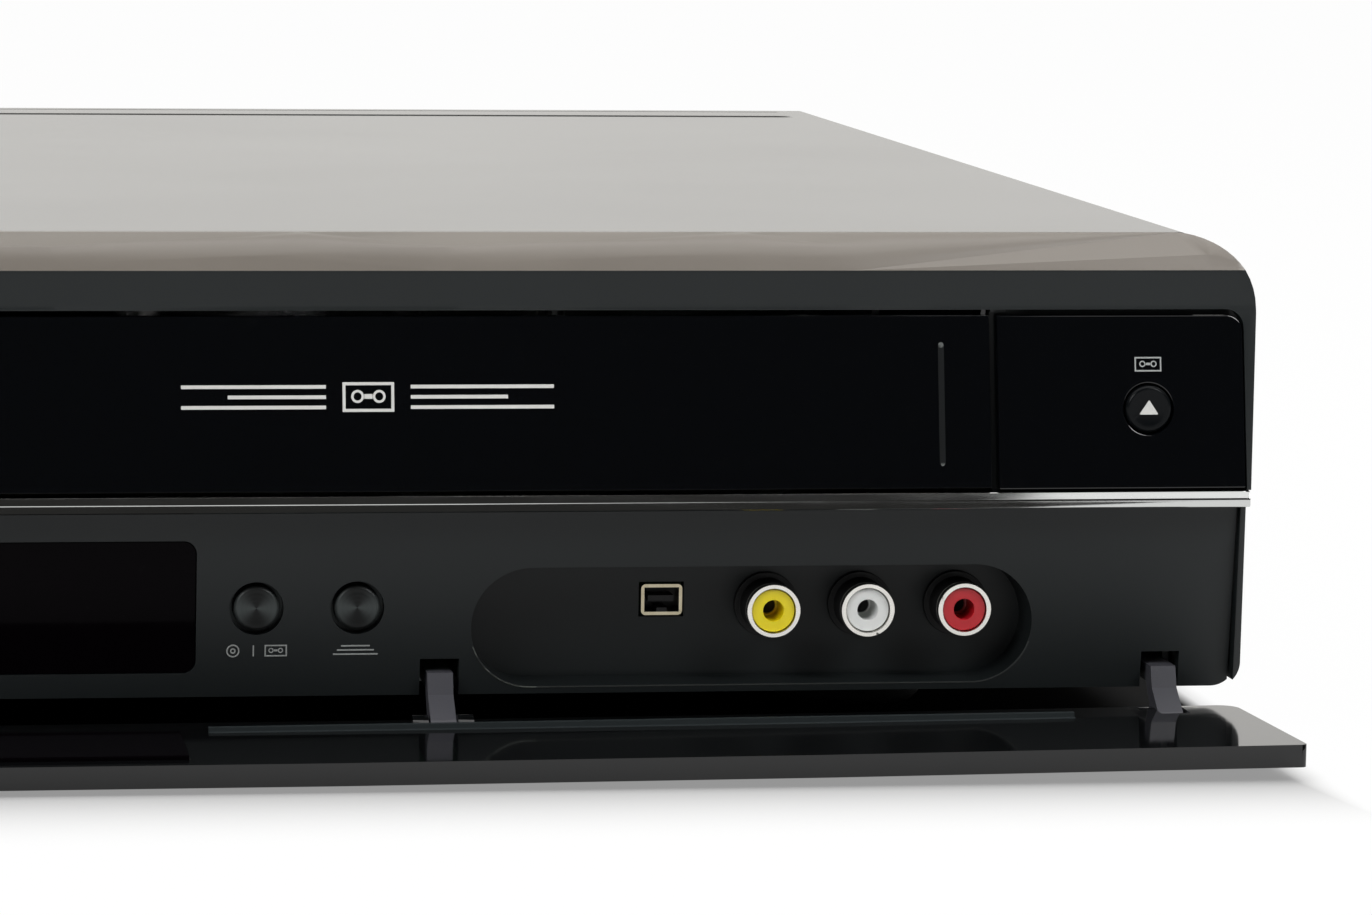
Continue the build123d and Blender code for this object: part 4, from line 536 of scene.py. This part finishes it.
def printOn(name, node, draw, material):
    # lays flat strokes (in mm, seen from the front) on a node's face and gives them a thickness
    mesh = bmesh.new()
    draw(mesh)
    surface = facesOf(node)
    for vert in mesh.verts:
        spot = Vector((vert.co.x * mm, -0.5, vert.co.z * mm))
        hit = surface.ray_cast(spot, Vector((0, 1, 0)))[0]
        vert.co = Vector((spot.x, hit.y - signs["raise"] * mm, spot.z))
    bmesh.ops.recalc_face_normals(mesh, faces=mesh.faces)
    for face in mesh.faces:
        if face.normal.y > 0:
            face.normal_flip()
    bmesh.ops.solidify(mesh, geom=mesh.faces[:], thickness=-signs["depth"] * mm)
    bmesh.ops.recalc_face_normals(mesh, faces=mesh.faces)
    data = bpy.data.meshes.new(name)
    mesh.to_mesh(data)
    mesh.free()
    return settle(name, data, material, nodes[node]["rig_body"])


signInk = moulded("signInk", ink(205, 205, 202), 0.5, 0.05, 1500.0, 0.000004)
paleInk = moulded("paleInk", ink(150, 153, 152), 0.5, 0.05, 1500.0, 0.000004)
markEndGlint = moulded("markEndGlint", ink(86, 90, 88), 0.5, 0.05, 1500.0, 0.000004)
lipHighlightGrey = moulded("lipHighlightGrey", ink(54, 57, 56), 0.45, 0.05, 1500.0, 0.000004)
lipHighlightPale = moulded("lipHighlightPale", ink(104, 109, 104), 0.45, 0.05, 1500.0, 0.000004)
faintLineTone = moulded("faintLineTone", ink(19, 21, 22), 0.3, 0.05, 1500.0, 0.000004)


def drawFlapSign(mesh):
    x0, z0, x1, z1 = signs["flapSign"]
    middle, tall = (x0 + x1) / 2, z1 - z0
    cassette(mesh, middle - 3.9, z0 - 0.2, middle + 3.9, z1 + 0.2, 0.45)
    for level in (0.12, 0.5, 0.88):
        drop = z0 + tall * level
        bar(mesh, x0 + (7 if level == 0.5 else 0), drop - 0.27, middle - 6.4, drop + 0.27)
        bar(mesh, middle + 6.4, drop - 0.27, x1 - (7 if level == 0.5 else 0), drop + 0.27)


def drawDiscSign(mesh):
    x0, z0, x1, z1 = signs["discSign"]
    ring(mesh, x0 + 3.4, (z0 + z1) / 2, 1.0, 0.2)
    ring(mesh, x0 + 3.4, (z0 + z1) / 2, 0.42, 0.2)
    bar(mesh, x0 + 6.4, z0 + 0.1, x0 + 6.6, z1 - 0.1)
    cassette(mesh, x0 + 8.2, z0 + 0.05, x1 - 1.6, z1 - 0.05, 0.2)


def drawScanSign(mesh):
    x0, z0, x1, z1 = signs["scanSign"]
    for step in range(3):
        drop = z0 + 0.3 + step * (z1 - z0 - 0.6) / 2
        bar(mesh, x0 + 2.0 + step * 0.6, drop - 0.11, x1 - 2.0 - step * 0.6, drop + 0.11)


def drawEjectSign(mesh):
    x0, z0, x1, z1 = signs["ejectSign"]
    cassette(mesh, x0 + 1.2, z0, x1 - 1.2, z1, 0.22)


def drawEjectArrow(mesh):
    arrow(mesh, 197.7, 51.55, 1.75, squash=0.86)


def drawPowerSign(mesh):
    ring(mesh, -197.7, 51.4, 1.5, 0.28)
    bar(mesh, -197.84, 51.6, -197.56, 53.3)


def drawOpenSign(mesh):
    arrow(mesh, -27.7, 51.95, 1.35, squash=0.8)
    bar(mesh, -28.9, 50.3, -26.5, 50.75)


def drawKeySigns(mesh):
    # play, stop and record marks under the left keys
    level = 21.5 - signs["signDrop"]
    arrow(mesh, -84.1, level, 1.1, turn=-math.pi / 2)
    bar(mesh, -68.8, level - 0.8, -67.2, level + 0.8)
    disc(mesh, -100.0, level, 0.85)


def lipStroke(mesh, grow, stroke):
    # a stroke round the jack recess, its lower half kept: a painted highlight of the light its lower lip
    # catches
    spot = Matrix.Translation((recess["left"], 0, recess["level"])) @ Matrix.Rotation(math.pi / 2, 4, "X")
    edges = set()
    for reach in (recess["radius"] + grow, recess["radius"] + grow + stroke):
        made = bmesh.ops.create_circle(mesh, cap_ends=False, segments=72, radius=reach, matrix=spot)
        edges |= {e for v in made["verts"] for e in v.link_edges}
        for vert in made["verts"]:
            if vert.co.x > recess["left"] + 0.01:
                vert.co.x += recess["right"] - recess["left"]
    bmesh.ops.bridge_loops(mesh, edges=list(edges))
    bmesh.ops.bisect_plane(mesh, geom=mesh.verts[:] + mesh.edges[:] + mesh.faces[:], dist=0.00001,
                           plane_co=(0, 0, recess["level"] - recess["drop"]), plane_no=(0, 0, 1),
                           clear_inner=False, clear_outer=True)


recess = {"left": 103.05, "right": 171.65, "level": 18.25, "radius": 9.25, "drop": 3.0}


def drawLip(mesh):
    lipStroke(mesh, 0.05, 0.2)


def drawLipArc(mesh):
    lipStroke(mesh, 0.06, 0.17)
    bmesh.ops.bisect_plane(mesh, geom=mesh.verts[:] + mesh.edges[:] + mesh.faces[:], dist=0.00001,
                           plane_co=(recess["left"] + 1.0, 0, 0), plane_no=(1, 0, 0),
                           clear_inner=False, clear_outer=True)


# a faint line down the flap, a little paler than the flap
def drawFlapMark(mesh):
    x0, z0, x1, z1 = signs["flapMark"]
    bar(mesh, x0, z0, x1, z1)


# paler dots at the two ends of the flap's line: painted highlights where its ends catch the light
def drawMarkEnds(mesh):
    x0, z0, x1, z1 = signs["flapMark"]
    for z, radius in ((z1, 0.42), (z0, 0.3)):
        disc(mesh, (x0 + x1) / 2, z, radius, 16)


printOn("flap_sign", "vcr_flap", drawFlapSign, signInk)
printOn("eject_arrow", "eject_button", drawEjectArrow, signInk)
printOn("power_mark", "power_button", drawPowerSign, paleInk)
printOn("open_mark", "open_close_button", drawOpenSign, paleInk)
printOn("key_marks", "control_panel", drawKeySigns, paleInk)
printOn("flap_mark", "vcr_flap", drawFlapMark, faintLineTone)
# painted highlights along the recess's lower lip, a brighter one on its left curve
printOn("recess_lip", "control_panel", drawLip, lipHighlightGrey)
printOn("recess_lip_arc", "control_panel", drawLipArc, lipHighlightPale)
printOn("flap_mark_ends", "vcr_flap", drawMarkEnds, markEndGlint)
printOn("source_sign", "control_panel", drawDiscSign, paleInk)
printOn("scan_sign", "control_panel", drawScanSign, paleInk)
printOn("eject_sign", "vcr_fascia", drawEjectSign, paleInk)

# backdrop and light
room = {
    "floor": 6.0,
    "floorTone": 0.80,
    # the floor's painted shadow: near black under the body, darker just in front of it
    "shadeTone": 0.02,
    "nearShadowTone": 0.30,
    "behind": 1.0,       # light of the world behind the object, low down
    "inFront": 0.03,     # and in front of it, which the gloss front mirrors
    "overhead": 0.62,
    "warm": (1.0, 0.985, 0.95, 1.0),
    "roofFrom": -0.40,   # the roof's light starts this far in front of overhead
    "footprint": (0.2127, -0.1905, 0.180),
    "underFront": -0.152,
    "underEdge": 0.003,
    "fade": 0.038,       # length of the painted soft shadow in front
    "sideFade": 0.006,
}


def whiteRoom():
    s = Shader("whiteRoom", world=True)
    way = s.node("TexCoord", output="Generated")
    back = s.node("SeparateXYZ", output="Y", Vector=way)
    up = s.node("SeparateXYZ", output="Z", Vector=way)
    behind = (back * 2.2 + 0.1).math("MULTIPLY", 1.0, clamp=True)
    high = (up * 1.9 - 0.75).math("MULTIPLY", 1.0, clamp=True)
    roof = ((back - room["roofFrom"]) * 3.3).math("MULTIPLY", 1.0, clamp=True)
    level = room["inFront"] + behind * (room["behind"] - room["inFront"])
    level = level + (room["overhead"] - level) * (high * roof)
    rays = s.node("LightPath", output="Is Camera Ray")
    rays = rays.math("ADD", s.node("LightPath", output="Is Transmission Ray"))
    seen = rays.math("MULTIPLY", 1.0, clamp=True)
    level = level + (1.0 - level) * seen
    glow = s.node("Background", Color=s.blend(seen, room["warm"], white), Strength=level)
    s.node("OutputWorld", Surface=glow)
    return s.data


def paleFloor():
    # pale cloth that shows as white; its tone is painted darker under the body and just in front of it, a
    # painted shadow added to the real shadow there, and its white glow is held back there as well
    s = Shader("paleFloor")
    cloth = s.noise(3.0, 2.0)
    tone = room["floorTone"]
    glow = s.node("Emission", Color=white, Strength=1.0)
    spot = s.place()
    half, near, far = room["footprint"]
    aside = s.node("SeparateXYZ", output="X", Vector=spot).math("ABSOLUTE") - half
    along = s.node("SeparateXYZ", output="Y", Vector=spot)
    ahead = near - along
    beyond = (along - far).math("MAXIMUM", room["underFront"] - along).math("MAXIMUM", aside)
    under = 1.0 - (beyond / room["underEdge"]).math("MULTIPLY", 1.0, clamp=True)
    openness = (ahead / room["fade"]).math("MAXIMUM", aside / room["sideFade"])
    openness = openness.math("MAXIMUM", (along - far) / room["fade"]).math("MULTIPLY", 1.0, clamp=True)
    cloth = s.blend(cloth, shade(white, tone), shade(white, tone + 0.02))
    cloth = s.blend(openness, shade(white, room["nearShadowTone"]), cloth)
    diffuse = s.node("BsdfDiffuse", Color=s.blend(under, cloth, shade(white, room["shadeTone"])))
    rays = s.node("LightPath", output="Is Camera Ray")
    rays = rays.math("ADD", s.node("LightPath", output="Is Glossy Ray"))
    rays = rays.math("ADD", s.node("LightPath", output="Is Transmission Ray"))
    rays = rays.math("MULTIPLY", 1.0, clamp=True)
    mixed = s.node("MixShader", Fac=rays * (1.0 - under) * (0.3 + openness * 0.67))
    s.tree.links.new(diffuse.socket, mixed.socket.node.inputs[1])
    s.tree.links.new(glow.socket, mixed.socket.node.inputs[2])
    s.node("OutputMaterial", Surface=mixed)
    return s.data


scene.world = whiteRoom()
floorMesh = bmesh.new()
bmesh.ops.create_grid(floorMesh, x_segments=1, y_segments=1, size=room["floor"])
floorData = bpy.data.meshes.new("floor")
floorMesh.to_mesh(floorData)
floorMesh.free()
floor = bpy.data.objects.new("floor", floorData)
scene.collection.objects.link(floor)
floorData.materials.append(paleFloor())

lamps = {
    "overhead": {"place": (0.0, 0.05, 1.25), "aim": (0.0, 0.05, 0.0),
        "size": (1.7, 1.2), "power": 10.0},
    "frontRight": {"place": (0.96, -0.80, 1.2), "aim": (0.96, -0.16, 0.04),
        "size": (0.9, 0.9), "power": 3.0},
    "frontLeft": {"place": (-0.9, -1.0, 0.9), "aim": (0.05, -0.15, 0.04),
        "size": (0.8, 0.8), "power": 11.0},
    "nearRight": {"place": (0.62, -0.55, 0.55), "aim": (0.2, -0.16, 0.03),
        "size": (0.3, 0.3), "power": 2.6},
}
for name, spec in lamps.items():
    light = bpy.data.lights.new(name, "AREA")
    light.shape = "RECTANGLE"
    light.size, light.size_y = spec["size"]
    light.energy = spec["power"]
    lamp = bpy.data.objects.new(name, light)
    scene.collection.objects.link(lamp)
    lamp.location = spec["place"]
    aim = Vector(spec["aim"]) - Vector(spec["place"])
    lamp.rotation_euler = aim.to_track_quat("-Z", "Y").to_euler()
print("lights set")
